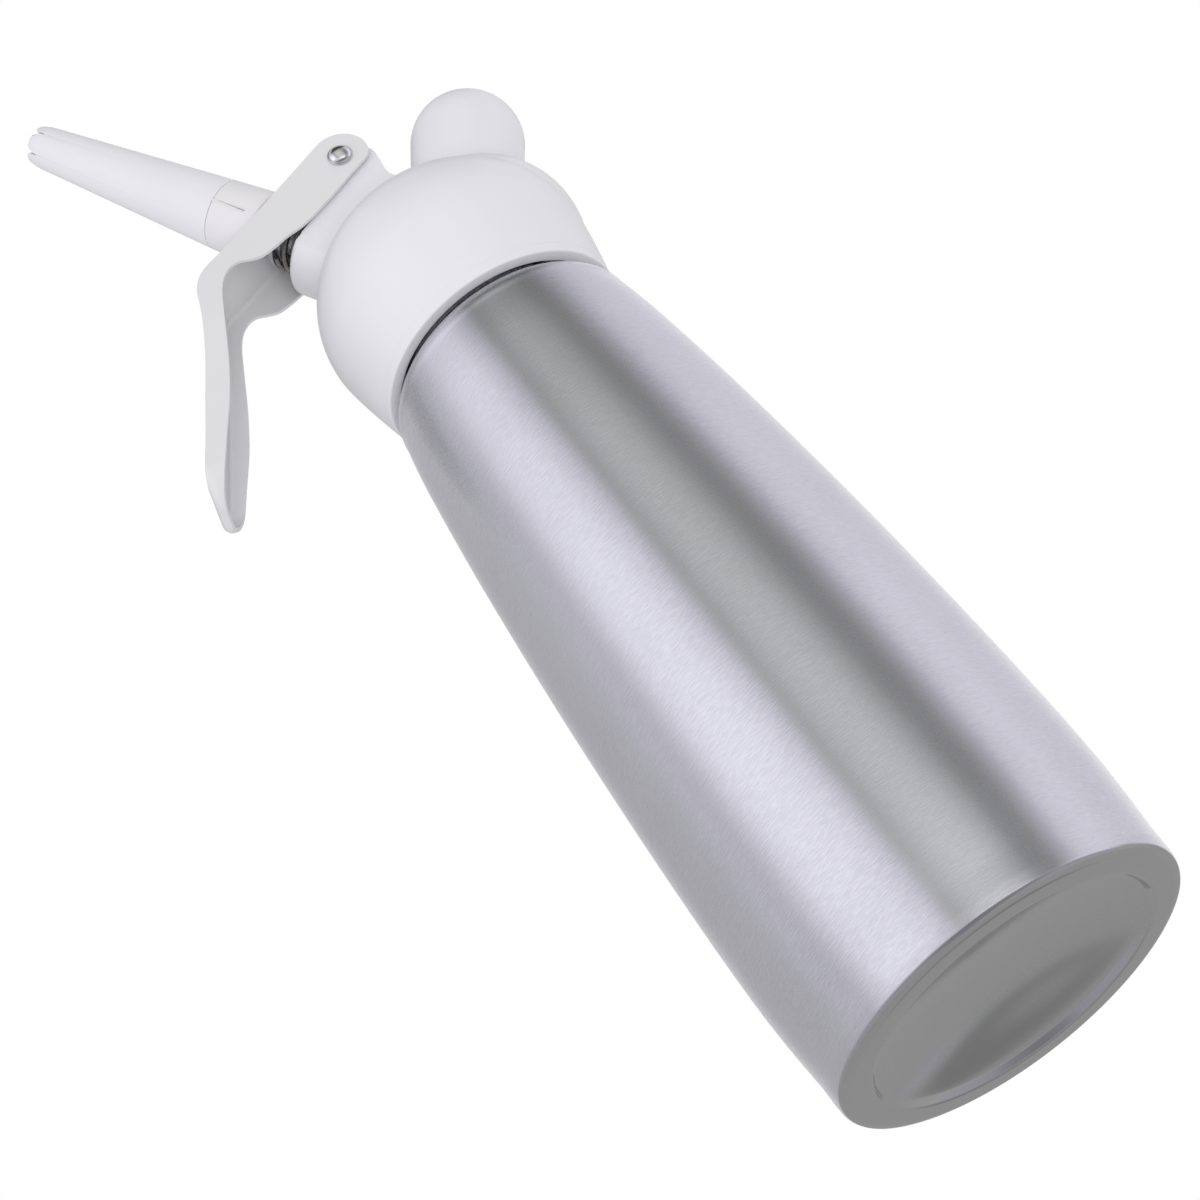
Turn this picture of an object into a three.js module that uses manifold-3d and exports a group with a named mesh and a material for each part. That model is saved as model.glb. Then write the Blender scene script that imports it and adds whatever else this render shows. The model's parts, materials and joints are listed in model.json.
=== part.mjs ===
import Module from 'manifold-3d';
import * as THREE from 'three';
import { mergeVertices } from 'three/addons/utils/BufferGeometryUtils.js';

// A whipped cream dispenser: an aluminium bottle with a white screw-on head. The head carries a
// sprung valve with a hand lever and a piping nozzle on one side, and a holder for a gas charger on
// the other. Millimetres, +Z up along the bottle, the nozzle and lever towards +X.

const wasm = await Module();
wasm.setup();

// Driving dimensions

const sides = { large: 48, medium: 32, small: 20, tiny: 14, hexagon: 6 };
const fit = { running: 0.3, thread: 0.3, snug: 0.15, overrun: 1 };

const bottle = {
  bodyHeight: 184,
  widestRadius: 41,
  wall: 1.8,
  heelHeight: 8,
  footRadius: 34.6,
  footWidth: 2,
  recessDepth: 5,
  recessFloorRadius: 24,
  shoulderHeight: 6,
  neckHeight: 8.5,
  neckRadius: 24,
  neckWall: 3,
  sideHeightShares: [0.152, 0.326, 0.543, 0.761, 0.924, 1],
  sideRadiusShares: [1, 0.985, 0.939, 0.868, 0.793, 0.741],
  heelRadiusShare: 0.976,
};

const gasket = { thickness: 2, overlap: 0.8 };

const head = {
  skirtDrop: 7.8,
  lipRadius: 29.9,
  lipWall: 2.6,
  lipRound: 0.7,
  lipRollWidth: 1.6,
  lipRollHeight: 2.4,
  flareHeight: 21,
  flarePower: 1.3,
  flareShares: [0.25, 0.5, 0.75],
  dome: { radius: 32.9, height: 28.5, power: 2.08, wall: 2.8 },
  ledge: 1.2,
  fairing: { radius: 24, back: 10.4, rise: 6.1 },
};

const core = { collarWall: 2.6, deckThickness: 4, collarDrop: 7 };

const valve = {
  elevation: 61,
  originDrop: 31.4,
  face: 41,
  bossRadius: 11,
  bossHalfWidth: 9,
  recessDepth: 5.7,
  bodyStart: 17,
  bodyEnd: 31,
  bodyRadius: 8,
  chamberRadius: 6.2,
  floorThickness: 1.5,
  seat: 27,
  seatThickness: 1.4,
  seatClearance: 0.9,
};

const stem = {
  radius: 3.6,
  boreRadius: 2.2,
  endWall: 1.6,
  collarRadius: 5.8,
  collarThickness: 1.1,
  reach: 62,
  tailRadius: 1.6,
  tailLength: 4.1,
  portRadius: 1,
};

const seal = { radius: 5.6, thickness: 1.5, lift: 0.3 };
const sealNut = { radius: 3.2, thickness: 1.6 };
const bush = { radius: 5.6, flangeRadius: 7.2, flangeThickness: 1.2 };
const ring = { wire: 0.7, groove: 0.3 };
const springCap = { radius: 7.2, thickness: 1.2, rim: 0.9, rimRadius: 5.6 };
const spring = { meanRadius: 6.75, wire: 1.3, turns: 4 };

const pivot = { along: 44, above: 19.5, pinRadius: 1.95 };
const lug = { radius: 6.6, cornerBack: 5.8, cornerDrop: 5.7, rootFront: 2.1, rootDepth: 14 };
const rivet = { headRadius: 3.2, headRim: 0.15, headHeight: 0.7, tailRadius: 2.8, tailHeight: 0.9 };
const pivotBush = { wall: 0.9 };

const lever = {
  sheet: 1.2,
  earRadius: 6.8,
  armSlope: 4.7,
  armLength: 44.2,
  bendRadius: 16,
  handleSlope: 35,
  handleLength: 59.5,
  noseRadius: 4.5,
  webStart: 10.5,
  flangeDepth: 13.2,
  armStationShares: [0.26, 0.44, 0.57, 0.71, 0.82],
  armDepthShares: [0.96, 0.92, 0.79, 0.7, 0.44],
  handleStationShares: [0.05, 0.3, 0.67, 0.81, 0.925, 1],
  handleDepthShares: [0.43, 0.42, 0.43, 0.39, 0.29, 0.2],
  pressAngle: 11,
};

const adapter = {
  baseRadius: 9.2,
  topRadius: 8.5,
  base: 53.7,
  top: 66,
  spigotRadius: 5.6,
  spigotLength: 8.2,
  boreRadius: 2.6,
  rib: { height: 0.5, width: 0.8, length: 9.5, turn: 17 },
};

const nozzle = {
  tipRadius: 5.05,
  tip: 121.3,
  tipWall: 0.8,
  throatRadius: 4.9,
  notchDepth: 4.6,
  notchWidth: 1.5,
  mouthWidening: 0.78,
  mouthDepth: 1.3,
  lobes: 6,
};

const nozzleRing = { inner: 5.9, outer: 7.3, thickness: 1.3 };

const holder = {
  elevation: 59.2,
  endCentre: 48,
  endRadius: 13.5,
  waistRadius: 13,
  wall: 3.8,
  seat: 33,
  spigotRadius: 11.6,
  spigotLength: 14,
  socketWall: 1.6,
};

const charger = {
  length: 65,
  radius: 9.1,
  neckRadius: 4.2,
  neckLength: 7,
  shoulderLength: 8,
  shoulderShare: 0.3,
  wall: 1.4,
  piercingRadius: 1.4,
};

const nipple = {
  radius: 5.7,
  length: 11.4,
  mouthDepth: 5.6,
  tailRadius: 2.8,
  tailLength: 7,
  boreRadius: 1.2,
  portRadius: 0.9,
};

const block = { radius: 8.2, top: 1, drop: 3.5 };
const duct = { place: 15.6, radius: 4.3, boreRadius: 2.2, top: 25.6, boreTop: 23.8 };
const chargerSeal = { thickness: 1.8, boreRadius: 1.6 };
const pin = { radius: 0.85, rise: 1.6, point: 1.2 };
const sleeve = { wall: 1.4, length: 2.4, tipGap: 0.6 };

// Shape helpers

const turn = THREE.MathUtils.degToRad;

function solidOf(geometry) {
  const bare = new THREE.BufferGeometry();
  bare.setAttribute('position', geometry.getAttribute('position'));
  bare.setIndex(geometry.getIndex());
  const merged = mergeVertices(bare);
  const index = merged.getIndex().array;
  const kept = [];
  for (let i = 0; i < index.length; i += 3) {
    const [a, b, c] = [index[i], index[i + 1], index[i + 2]];
    if (a !== b && b !== c && c !== a) kept.push(a, b, c);
  }
  const vertProperties = Float32Array.from(merged.getAttribute('position').array);
  const mesh = new wasm.Mesh({ numProp: 3, vertProperties, triVerts: Uint32Array.from(kept) });
  return new wasm.Manifold(mesh);
}

function geometryOf(solid) {
  const mesh = solid.getMesh();
  const geometry = new THREE.BufferGeometry();
  geometry.setAttribute('position', new THREE.BufferAttribute(mesh.vertProperties, 3));
  geometry.setIndex(new THREE.BufferAttribute(mesh.triVerts, 1));
  return geometry;
}

// A closed profile of [radius, height] points turned about Z
function turned(profile, count) {
  const points = profile.map(([r, z]) => new THREE.Vector2(r, z));
  if (THREE.ShapeUtils.area(points) < 0) points.reverse();
  if (points[0].x > 0) points.push(points[0].clone());
  return solidOf(new THREE.LatheGeometry(points, count).rotateX(Math.PI / 2));
}

function rod(radius, low, high, count) {
  return turned([[0, low], [radius, low], [radius, high], [0, high]], count);
}

function tube(outer, inner, low, high, count) {
  return turned([[inner, low], [outer, low], [outer, high], [inner, high]], count);
}

// A closed outline in X and Z, as thick as twice the half width along Y
function slab(outline, halfWidth) {
  const shape = new THREE.Shape(outline.map(([x, z]) => new THREE.Vector2(x, z)));
  const geometry = new THREE.ExtrudeGeometry(shape, { depth: 2 * halfWidth, bevelEnabled: false });
  return solidOf(geometry.rotateX(Math.PI / 2).translate(0, halfWidth, 0));
}

function box(width, depth, height, x, y, z) {
  return solidOf(new THREE.BoxGeometry(width, depth, height).translate(x, y, z));
}

// A rod along Y, centred on the plane of the nozzle
function crossRod(radius, halfLength, x, z, count) {
  return rod(radius, -halfLength, halfLength, count).rotate([90, 0, 0]).translate([x, 0, z]);
}

function arc(cx, cz, radiusX, radiusZ, from, to, steps) {
  const points = [];
  for (let i = 0; i <= steps; i += 1) {
    const angle = turn(from + ((to - from) * i) / steps);
    points.push([cx + radiusX * Math.cos(angle), cz + radiusZ * Math.sin(angle)]);
  }
  return points;
}

function piece(name, solid, colour, roughness, metalness) {
  const material = new THREE.MeshStandardMaterial({ color: colour, roughness, metalness });
  const mesh = new THREE.Mesh(geometryOf(solid), material);
  mesh.name = name;
  return mesh;
}

// Levels along the bottle, from its foot up

const mouthLevel = bottle.bodyHeight + bottle.shoulderHeight + bottle.neckHeight;
const gasketLow = mouthLevel + fit.snug;
const gasketHigh = gasketLow + gasket.thickness;
const deckLow = gasketHigh + fit.snug;
const deckHigh = deckLow + core.deckThickness;
const lipLow = mouthLevel - head.skirtDrop;
const domeLevel = lipLow + head.flareHeight;
const domeTop = domeLevel + head.dome.height;
const crossing = domeTop - valve.originDrop;
const collarInner = bottle.neckRadius + fit.thread;
const collarOuter = collarInner + core.collarWall;
const skirtInner = collarOuter + fit.running;

// Bottle

function bottleSide(inset) {
  const stations = bottle.sideHeightShares.map((share, i) => new THREE.Vector2(
    bottle.widestRadius * bottle.sideRadiusShares[i] - inset,
    bottle.bodyHeight * share,
  ));
  const heel = bottle.widestRadius * bottle.heelRadiusShare - inset;
  const curve = new THREE.SplineCurve([new THREE.Vector2(heel, bottle.heelHeight), ...stations]);
  return curve.getPoints(12).map((point) => [point.x, point.y]);
}

function makeBottle() {
  const heelRun = bottle.widestRadius * bottle.heelRadiusShare - bottle.footRadius;
  const shoulderRun = bottle.widestRadius * bottle.sideRadiusShares.at(-1) - bottle.neckRadius;
  const footInner = bottle.footRadius - bottle.footWidth;
  const mouth = bottle.neckRadius - bottle.neckWall;
  const floor = bottle.recessDepth + bottle.wall;
  const neckLow = bottle.bodyHeight + bottle.shoulderHeight;
  const inner = bottleSide(bottle.wall).reverse();
  const recessRun = footInner - bottle.recessFloorRadius;
  const profile = [
    [0, bottle.recessDepth],
    ...arc(bottle.recessFloorRadius, 0, recessRun, bottle.recessDepth, 90, 0, 4),
    ...arc(bottle.footRadius, bottle.heelHeight, heelRun, bottle.heelHeight, -90, -18, 4),
    ...bottleSide(0),
    ...arc(bottle.neckRadius, bottle.bodyHeight, shoulderRun, bottle.shoulderHeight, 30, 90, 3),
    [bottle.neckRadius, mouthLevel],
    [mouth, mouthLevel],
    [mouth, neckLow - bottle.wall],
    ...inner,
    [bottle.footRadius, floor],
    [0, floor],
  ];
  return turned(profile, sides.large);
}

// Head shell: skirt and dome turned about the bottle's axis, with the valve boss, the lug for the
// lever and the socket for the charger holder set on it at their own angles

function domeArc(radius, height, steps) {
  const power = 2 / head.dome.power;
  return arc(0, 0, 1, 1, 0, 90, steps).map(([c, s]) => [
    radius * Math.max(c, 0) ** power,
    domeLevel + height * Math.max(s, 0) ** power,
  ]).slice(0, -1).concat([[0, domeLevel + height]]);
}

function domeSolid() {
  const { dome } = head;
  const lipInner = head.lipRadius - head.lipWall;
  const low = lipLow + head.lipRollHeight;
  const flare = head.flareShares.map((share) => [
    dome.radius - (dome.radius - head.lipRadius) * (1 - share) ** head.flarePower,
    low + (domeLevel - low) * share,
  ]);
  return turned([
    [0, lipLow],
    [lipInner + head.lipRound, lipLow],
    ...arc(head.lipRadius - head.lipRollWidth, low, head.lipRollWidth, head.lipRollHeight, -90, 0, 4),
    ...flare,
    ...domeArc(dome.radius, dome.height, 10),
  ], sides.large);
}

// The rounded bulge on the dome's back, under the charger holder
function fairingSolid() {
  const { radius, back, rise } = head.fairing;
  const profile = [[0, -radius], ...arc(0, 0, radius, radius, -75, 75, 10), [0, radius]];
  return turned(profile, sides.large).translate([-back, 0, domeLevel + rise]);
}

function shellCavity() {
  const { dome } = head;
  const ledgeHigh = deckHigh + fit.running;
  const inner = skirtInner - head.ledge;
  const roof = domeArc(dome.radius - dome.wall, dome.height - dome.wall, 10).filter(([r]) => r < inner);
  const corner = inner / (dome.radius - dome.wall);
  const rise = (1 - corner ** dome.power) ** (1 / dome.power);
  return turned([
    [0, lipLow - fit.overrun],
    [skirtInner, lipLow - fit.overrun],
    [skirtInner, ledgeHigh],
    [inner, ledgeHigh],
    [inner, domeLevel + (dome.height - dome.wall) * rise],
    ...roof,
  ], sides.medium);
}

// A solid built along Z moves to the valve's or the holder's axis
function onValveAxis(solid) {
  return solid.rotate([0, 90 - valve.elevation, 0]).translate([0, 0, crossing]);
}

function onHolderAxis(solid) {
  return solid.rotate([0, holder.elevation - 90, 0]).translate([0, 0, crossing]);
}

const recessFloor = valve.face - valve.recessDepth;
const recessRadius = spring.meanRadius + spring.wire / 2 + fit.running + fit.snug;

// The lug's outline, in the valve's own frame: X is away from the pivot, Z along the stem
function lugOutline() {
  const { along, above } = pivot;
  const root = along - lug.cornerDrop - lug.rootDepth;
  return [
    [-above + lug.radius, along],
    ...arc(-above, along, lug.radius, lug.radius, 15, 190, 9),
    [-above - lug.cornerBack, along - lug.cornerDrop],
    [-above + lug.rootFront, root],
    [0, root],
    [0, valve.face],
    [-above + lug.radius, valve.face],
  ];
}

function valveBoss() {
  const barrel = rod(valve.bossRadius, valve.bodyStart, valve.face, sides.medium);
  const width = (valve.bossRadius + fit.overrun) * 2;
  const height = valve.face + fit.overrun;
  const flats = box(width, valve.bossHalfWidth * 2, height, 0, 0, height / 2);
  return barrel.intersect(flats).add(slab(lugOutline(), valve.bossHalfWidth));
}

function valveBores() {
  const { overrun, running } = fit;
  const bodyRoom = rod(valve.bodyRadius + running, 0, valve.bodyEnd + running, sides.small);
  const bushRoom = rod(bush.radius + running, 0, recessFloor + overrun, sides.small);
  const springRoom = rod(recessRadius, recessFloor, valve.face + overrun, sides.medium);
  const bushHole = pivot.pinRadius + fit.snug + pivotBush.wall + fit.snug;
  const pinRoom = crossRod(bushHole, valve.bossHalfWidth + overrun, -pivot.above, pivot.along, sides.tiny);
  return bodyRoom.add(bushRoom).add(springRoom).add(pinRoom);
}

const socketInner = holder.spigotRadius + fit.thread;
const socketOuter = socketInner + holder.socketWall;
const socketLow = holder.seat - holder.spigotLength;

function makeShell() {
  const dome = domeSolid().add(fairingSolid());
  const boss = onValveAxis(valveBoss());
  const socket = onHolderAxis(rod(socketOuter, socketLow, holder.seat, sides.medium));
  const chargerRoom = onHolderAxis(rod(socketInner, 0, holder.seat + fit.overrun, sides.medium));
  const holderRoom = onHolderAxis(
    rod(holder.endRadius + fit.running * 2, holder.seat, holder.endCentre, sides.medium),
  );
  const bossOutside = boss.subtract(shellCavity());
  const shell = dome.subtract(shellCavity()).add(bossOutside).add(socket);
  return shell.subtract(onValveAxis(valveBores())).subtract(chargerRoom).subtract(holderRoom);
}

// Core: the metal insert inside the head, with the screw collar for the bottle's neck, the deck
// over its mouth, the block under the charger, the cream duct and the valve body

const chargerBottom = holder.endCentre + holder.endRadius - holder.wall / 2 - fit.running;
const chargerTip = chargerBottom - charger.length;
const nippleTop = chargerTip + mouthRoom();
const nippleLow = nippleTop - nipple.length;
const blockLow = nippleLow - block.drop;

function mouthRoom() {
  return nipple.mouthDepth - chargerSeal.thickness + fit.snug * 2;
}

function coreCollar() {
  const collarEnd = deckLow - core.collarDrop;
  return turned([
    [collarInner, collarEnd],
    [collarOuter, collarEnd],
    [collarOuter, deckHigh],
    [0, deckHigh],
    [0, deckLow],
    [collarInner, deckLow],
  ], sides.medium);
}

// The pocket of the charging nipple and the hole for its tail
function nippleBores() {
  const seatRadius = nipple.radius + fit.thread;
  const seat = rod(seatRadius, nippleLow - fit.snug, nippleTop + fit.overrun, sides.small);
  const tail = rod(nipple.tailRadius + fit.snug, blockLow - fit.overrun, nippleTop, sides.tiny);
  return onHolderAxis(seat.add(tail));
}

// The valve's chamber, the hole in its seat and the pocket of the bush
function chamberBores() {
  const high = valve.bodyEnd + fit.overrun;
  const chamberLow = valve.bodyStart + valve.floorThickness;
  const seatHigh = valve.seat + valve.seatThickness;
  const chamber = rod(valve.chamberRadius, chamberLow, valve.seat, sides.small);
  const seatHole = rod(stem.radius + valve.seatClearance, valve.seat - fit.overrun, high, sides.small);
  const bushRoom = rod(bush.radius + fit.thread, seatHigh, high, sides.small);
  return onValveAxis(chamber.add(seatHole).add(bushRoom));
}

function makeCore() {
  const blockHigh = nippleTop - block.top + fit.running;
  const columnHigh = crossing + duct.top - duct.radius;
  const creamHigh = crossing + duct.boreTop - duct.radius - duct.boreRadius;
  const seatBlock = onHolderAxis(rod(block.radius, blockLow, blockHigh, sides.small));
  const body = onValveAxis(rod(valve.bodyRadius, valve.bodyStart, valve.bodyEnd, sides.small));
  const column = rod(duct.radius, deckLow, columnHigh, sides.small).translate([duct.place, 0, 0]);
  const cream = rod(duct.boreRadius, lipLow, creamHigh, sides.tiny).translate([duct.place, 0, 0]);
  return coreCollar().add(seatBlock).add(column).add(body)
    .subtract(nippleBores()).subtract(cream).subtract(chamberBores());
}

function makeGasket() {
  const inner = bottle.neckRadius - bottle.neckWall - gasket.overlap;
  return tube(bottle.neckRadius, inner, gasketLow, gasketHigh, sides.medium);
}

// Valve train, along the valve's own axis

const bushLow = valve.seat + valve.seatThickness + fit.running;
const flangeLow = recessFloor + fit.running;
const springLow = flangeLow + bush.flangeThickness + fit.running;
const ringRoom = stem.radius + ring.wire * 2 + fit.snug * 2;

// The lever's web must clear the stem's collar on the pivot side, where it hangs lowest
const armSlope = turn(lever.armSlope);
function webLevel(offset) {
  return pivot.along
    + (lever.earRadius + (offset + pivot.above) * Math.sin(armSlope)) / Math.cos(armSlope);
}
const webUnder = webLevel(-stem.collarRadius) - lever.sheet / Math.cos(armSlope);
const collarHigh = webUnder - fit.running;
const collarLow = collarHigh - stem.collarThickness;
const capHigh = collarLow - fit.snug;
const capLow = capHigh - springCap.thickness;
const springHigh = capLow - fit.running;
const sealHigh = valve.seat - seal.lift;
const sealLow = sealHigh - seal.thickness;
const nutHigh = sealLow - fit.snug;
const nutLow = nutHigh - sealNut.thickness;

function makeStem() {
  const tailLow = sealHigh - stem.tailLength;
  const solid = turned([
    [0, tailLow],
    [stem.tailRadius, tailLow],
    [stem.tailRadius, sealHigh + fit.snug],
    [stem.radius, sealHigh + fit.snug],
    [stem.radius, collarLow],
    [stem.collarRadius, collarLow],
    [stem.collarRadius, collarHigh],
    [stem.radius, collarHigh],
    [stem.radius, stem.reach],
    [stem.boreRadius, stem.reach],
    [stem.boreRadius, sealHigh + stem.endWall],
    [0, sealHigh + stem.endWall],
  ], sides.small);
  const port = sealHigh + stem.endWall + stem.portRadius + fit.snug;
  return solid.subtract(crossRod(stem.portRadius, stem.radius + fit.overrun, 0, port, sides.tiny / 2));
}

function makeSeal() {
  return tube(seal.radius, stem.tailRadius + fit.snug, sealLow, sealHigh, sides.small);
}

function makeSealNut() {
  const bore = rod(stem.tailRadius + fit.snug, nutLow - fit.overrun, nutHigh + fit.overrun, sides.tiny);
  return rod(sealNut.radius, nutLow, nutHigh, sides.hexagon).subtract(bore);
}

function makeValveBush() {
  const inner = stem.radius + fit.running;
  const pocket = ringRoom;
  const pocketHigh = bushLow + ring.wire * 2 + ring.groove * 2;
  return turned([
    [pocket, bushLow],
    [bush.radius, bushLow],
    [bush.radius, flangeLow],
    [bush.flangeRadius, flangeLow],
    [bush.flangeRadius, flangeLow + bush.flangeThickness],
    [inner, flangeLow + bush.flangeThickness],
    [inner, pocketHigh],
    [pocket, pocketHigh],
  ], sides.small);
}

function makeStemRing() {
  const centre = stem.radius + fit.snug + ring.wire;
  const level = bushLow + ring.groove + ring.wire;
  const section = arc(centre, level, ring.wire, ring.wire, 0, 315, 7);
  return turned(section, sides.small);
}

function makeSpringCap() {
  return turned([
    [stem.radius + fit.running, capLow - springCap.rim],
    [springCap.rimRadius, capLow - springCap.rim],
    [springCap.rimRadius, capLow],
    [springCap.radius, capLow],
    [springCap.radius, capHigh],
    [stem.radius + fit.running, capHigh],
  ], sides.medium);
}

// Return spring: one unbroken tube of five sides with eight steps to a turn. Each end runs
// straight for one wire thickness.
function springPath() {
  const half = spring.wire / 2;
  const steps = spring.turns * 8;
  const low = springLow + half;
  const rise = springHigh - half - low;
  const points = [];
  for (let i = 0; i <= steps; i += 1) {
    const angle = (i / 8) * Math.PI * 2;
    points.push(new THREE.Vector3(
      spring.meanRadius * Math.cos(angle),
      spring.meanRadius * Math.sin(angle),
      low + (rise * i) / steps,
    ));
  }
  const start = points[0].clone().setY(-spring.wire);
  const end = points.at(-1).clone().setY(spring.wire);
  return [start, ...points, end];
}

function springGeometry(path) {
  const around = 5;
  const positions = [];
  const index = [];
  path.forEach((point, i) => {
    const before = path[Math.max(i - 1, 0)];
    const after = path[Math.min(i + 1, path.length - 1)];
    const forward = after.clone().sub(before).normalize();
    const outward = new THREE.Vector3(point.x, point.y, 0).normalize();
    outward.addScaledVector(forward, -outward.dot(forward)).normalize();
    const upward = forward.clone().cross(outward);
    for (let k = 0; k < around; k += 1) {
      const angle = (k / around) * Math.PI * 2;
      const spot = point.clone()
        .addScaledVector(outward, (Math.cos(angle) * spring.wire) / 2)
        .addScaledVector(upward, (Math.sin(angle) * spring.wire) / 2);
      positions.push(spot.x, spot.y, spot.z);
    }
  });
  for (let i = 0; i + 1 < path.length; i += 1) {
    for (let k = 0; k < around; k += 1) {
      const a = i * around + k;
      const b = i * around + ((k + 1) % around);
      index.push(a, b, a + around, b, b + around, a + around);
    }
  }
  const last = (path.length - 1) * around;
  for (let k = 1; k + 1 < around; k += 1) {
    index.push(0, k + 1, k, last, last + k, last + k + 1);
  }
  const geometry = new THREE.BufferGeometry();
  geometry.setAttribute('position', new THREE.Float32BufferAttribute(positions, 3));
  geometry.setIndex(index);
  return geometry;
}

function leastSpringGap(path) {
  const curve = new THREE.CatmullRomCurve3(path);
  const points = curve.getPoints(path.length * 6);
  const half = points.length / (2 * spring.turns);
  let least = Infinity;
  points.forEach((point, i) => {
    points.slice(Math.round(i + half)).forEach((other) => {
      least = Math.min(least, point.distanceTo(other) - spring.wire);
    });
  });
  return least;
}

function makeSpring() {
  const path = springPath();
  console.log(`least gap between the return spring's turns: ${leastSpringGap(path).toFixed(2)} mm`);
  return solidOf(springGeometry(path));
}

// Lever: one stamped channel, in the valve's frame, with two ears beside the boss and the web
// along its outer edge

const innerHalfWidth = valve.bossHalfWidth + fit.running;
const outerHalfWidth = innerHalfWidth + lever.sheet;
const handleSlope = turn(lever.handleSlope);

// A point on the web's outer face, moved inwards by a depth. Stations run along the two straight
// stretches: negative ones count back from the corner along the arm.
function webPoint(station, depth) {
  const onArm = station < 0;
  const slope = onArm ? armSlope : -handleSlope;
  const footX = -pivot.above - lever.earRadius * Math.sin(armSlope);
  const footZ = pivot.along + lever.earRadius * Math.cos(armSlope);
  const cornerX = footX + lever.armLength * Math.cos(armSlope);
  const cornerZ = footZ + lever.armLength * Math.sin(armSlope);
  return [
    cornerX + station * Math.cos(slope) + depth * Math.sin(slope),
    cornerZ + station * Math.sin(slope) - depth * Math.cos(slope),
  ];
}

// The bend between arm and handle, at a depth under the web's outer face
function bendPoints(depth, steps) {
  const radius = lever.bendRadius - depth;
  const run = lever.bendRadius * Math.tan((armSlope + handleSlope) / 2);
  const [x, z] = webPoint(-run, lever.bendRadius);
  const from = 90 + lever.armSlope;
  return arc(x, z, radius, radius, from, 90 - lever.handleSlope, steps);
}

function leverEdge() {
  const arm = lever.armStationShares.map((share, i) => (
    webPoint(-lever.armLength * (1 - share), lever.flangeDepth * lever.armDepthShares[i])
  ));
  const handle = lever.handleStationShares.map((share, i) => (
    webPoint(lever.handleLength * share, lever.flangeDepth * lever.handleDepthShares[i])
  ));
  return [...arm, ...handle];
}

function leverOutline() {
  const { along, above } = pivot;
  const ear = arc(-above, along, lever.earRadius, lever.earRadius, 262, 90 + lever.armSlope, 10);
  return [
    ...ear,
    ...bendPoints(0, 6),
    webPoint(lever.handleLength, 0),
    ...leverEdge().reverse(),
  ];
}

function channelOutline() {
  const reach = lever.handleLength + fit.overrun;
  const far = lever.flangeDepth * 2;
  return [
    webPoint(-lever.armLength - lever.earRadius * 2, -fit.overrun),
    webPoint(-lever.armLength + lever.webStart, -fit.overrun),
    webPoint(-lever.armLength + lever.webStart, lever.sheet),
    ...bendPoints(lever.sheet, 6),
    webPoint(reach, lever.sheet),
    webPoint(reach, far),
    webPoint(-lever.armLength - lever.earRadius * 2, far),
  ];
}

// The plan of the handle's end: straight sides and a square nose with round corners
function nosePlan(inset) {
  const half = outerHalfWidth - inset;
  const tip = lever.handleLength - inset;
  const radius = lever.noseRadius - inset;
  const back = -lever.armLength * 2;
  const outline = [
    [back, -half],
    ...arc(tip - radius, radius - half, radius, radius, -90, 0, 4),
    ...arc(tip - radius, half - radius, radius, radius, 0, 90, 4),
    [back, half],
  ];
  const shape = new THREE.Shape(outline.map(([x, y]) => new THREE.Vector2(x, y)));
  const depth = lever.armLength * 2;
  const geometry = new THREE.ExtrudeGeometry(shape, { depth, bevelEnabled: false });
  geometry.translate(0, 0, -depth / 2);
  const [x, z] = webPoint(0, 0);
  return solidOf(geometry.rotateY(handleSlope).translate(x, 0, z));
}

// A block that holds the arm's side of the corner
function armPlan() {
  const width = (outerHalfWidth + fit.overrun) * 2;
  const length = lever.armLength * 2;
  return box(length, width, length, webPoint(0, 0)[0] - length / 2, 0, pivot.along);
}

function makeLever() {
  const swing = turn(lever.pressAngle);
  const outer = slab(leverOutline(), outerHalfWidth);
  const inner = slab(channelOutline(), innerHalfWidth);
  const arm = outer.intersect(armPlan()).subtract(inner);
  const handle = outer.subtract(armPlan()).intersect(nosePlan(0))
    .subtract(inner.intersect(nosePlan(lever.sheet)));
  const drift = (webLevel(0) - pivot.along) * swing;
  const slotRadius = stem.radius + fit.running + fit.snug;
  const shape = new THREE.Shape();
  shape.absarc(0, 0, slotRadius, -Math.PI / 2, Math.PI / 2, false);
  shape.absarc(-drift - fit.running, 0, slotRadius, Math.PI / 2, (Math.PI * 3) / 2, false);
  const slot = solidOf(new THREE.ExtrudeGeometry(shape, {
    depth: lever.flangeDepth, bevelEnabled: false, curveSegments: 8,
  }).translate(0, 0, webLevel(0) - lever.flangeDepth / 2));
  const pinHole = crossRod(
    pivot.pinRadius + fit.snug, outerHalfWidth + fit.overrun, -pivot.above, pivot.along, sides.tiny,
  );
  return arm.add(handle).subtract(slot).subtract(pinHole);
}

// Rivet: domed head on the +Y side, formed tail on the other
function makeRivet() {
  const near = outerHalfWidth + fit.snug;
  const domeHeight = rivet.headHeight - rivet.headRim;
  const dome = arc(0, near + rivet.headRim, rivet.headRadius, domeHeight, 0, 90, 5).slice(0, -1);
  const profile = [
    [0, -near - rivet.tailHeight],
    [rivet.tailRadius - rivet.tailHeight / 2, -near - rivet.tailHeight],
    [rivet.tailRadius, -near - rivet.tailHeight / 2],
    [rivet.tailRadius, -near],
    [pivot.pinRadius, -near],
    [pivot.pinRadius, near],
    [rivet.headRadius, near],
    ...dome,
    [0, near + rivet.headHeight],
  ];
  return turned(profile, sides.small).rotate([-90, 0, 0]).translate([-pivot.above, 0, pivot.along]);
}

function makePivotBush() {
  const inner = pivot.pinRadius + fit.snug;
  const half = valve.bossHalfWidth - fit.snug;
  return tube(inner + pivotBush.wall, inner, -half, half, sides.tiny)
    .rotate([-90, 0, 0]).translate([-pivot.above, 0, pivot.along]);
}

// Nozzle adapter and piping nozzle

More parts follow.
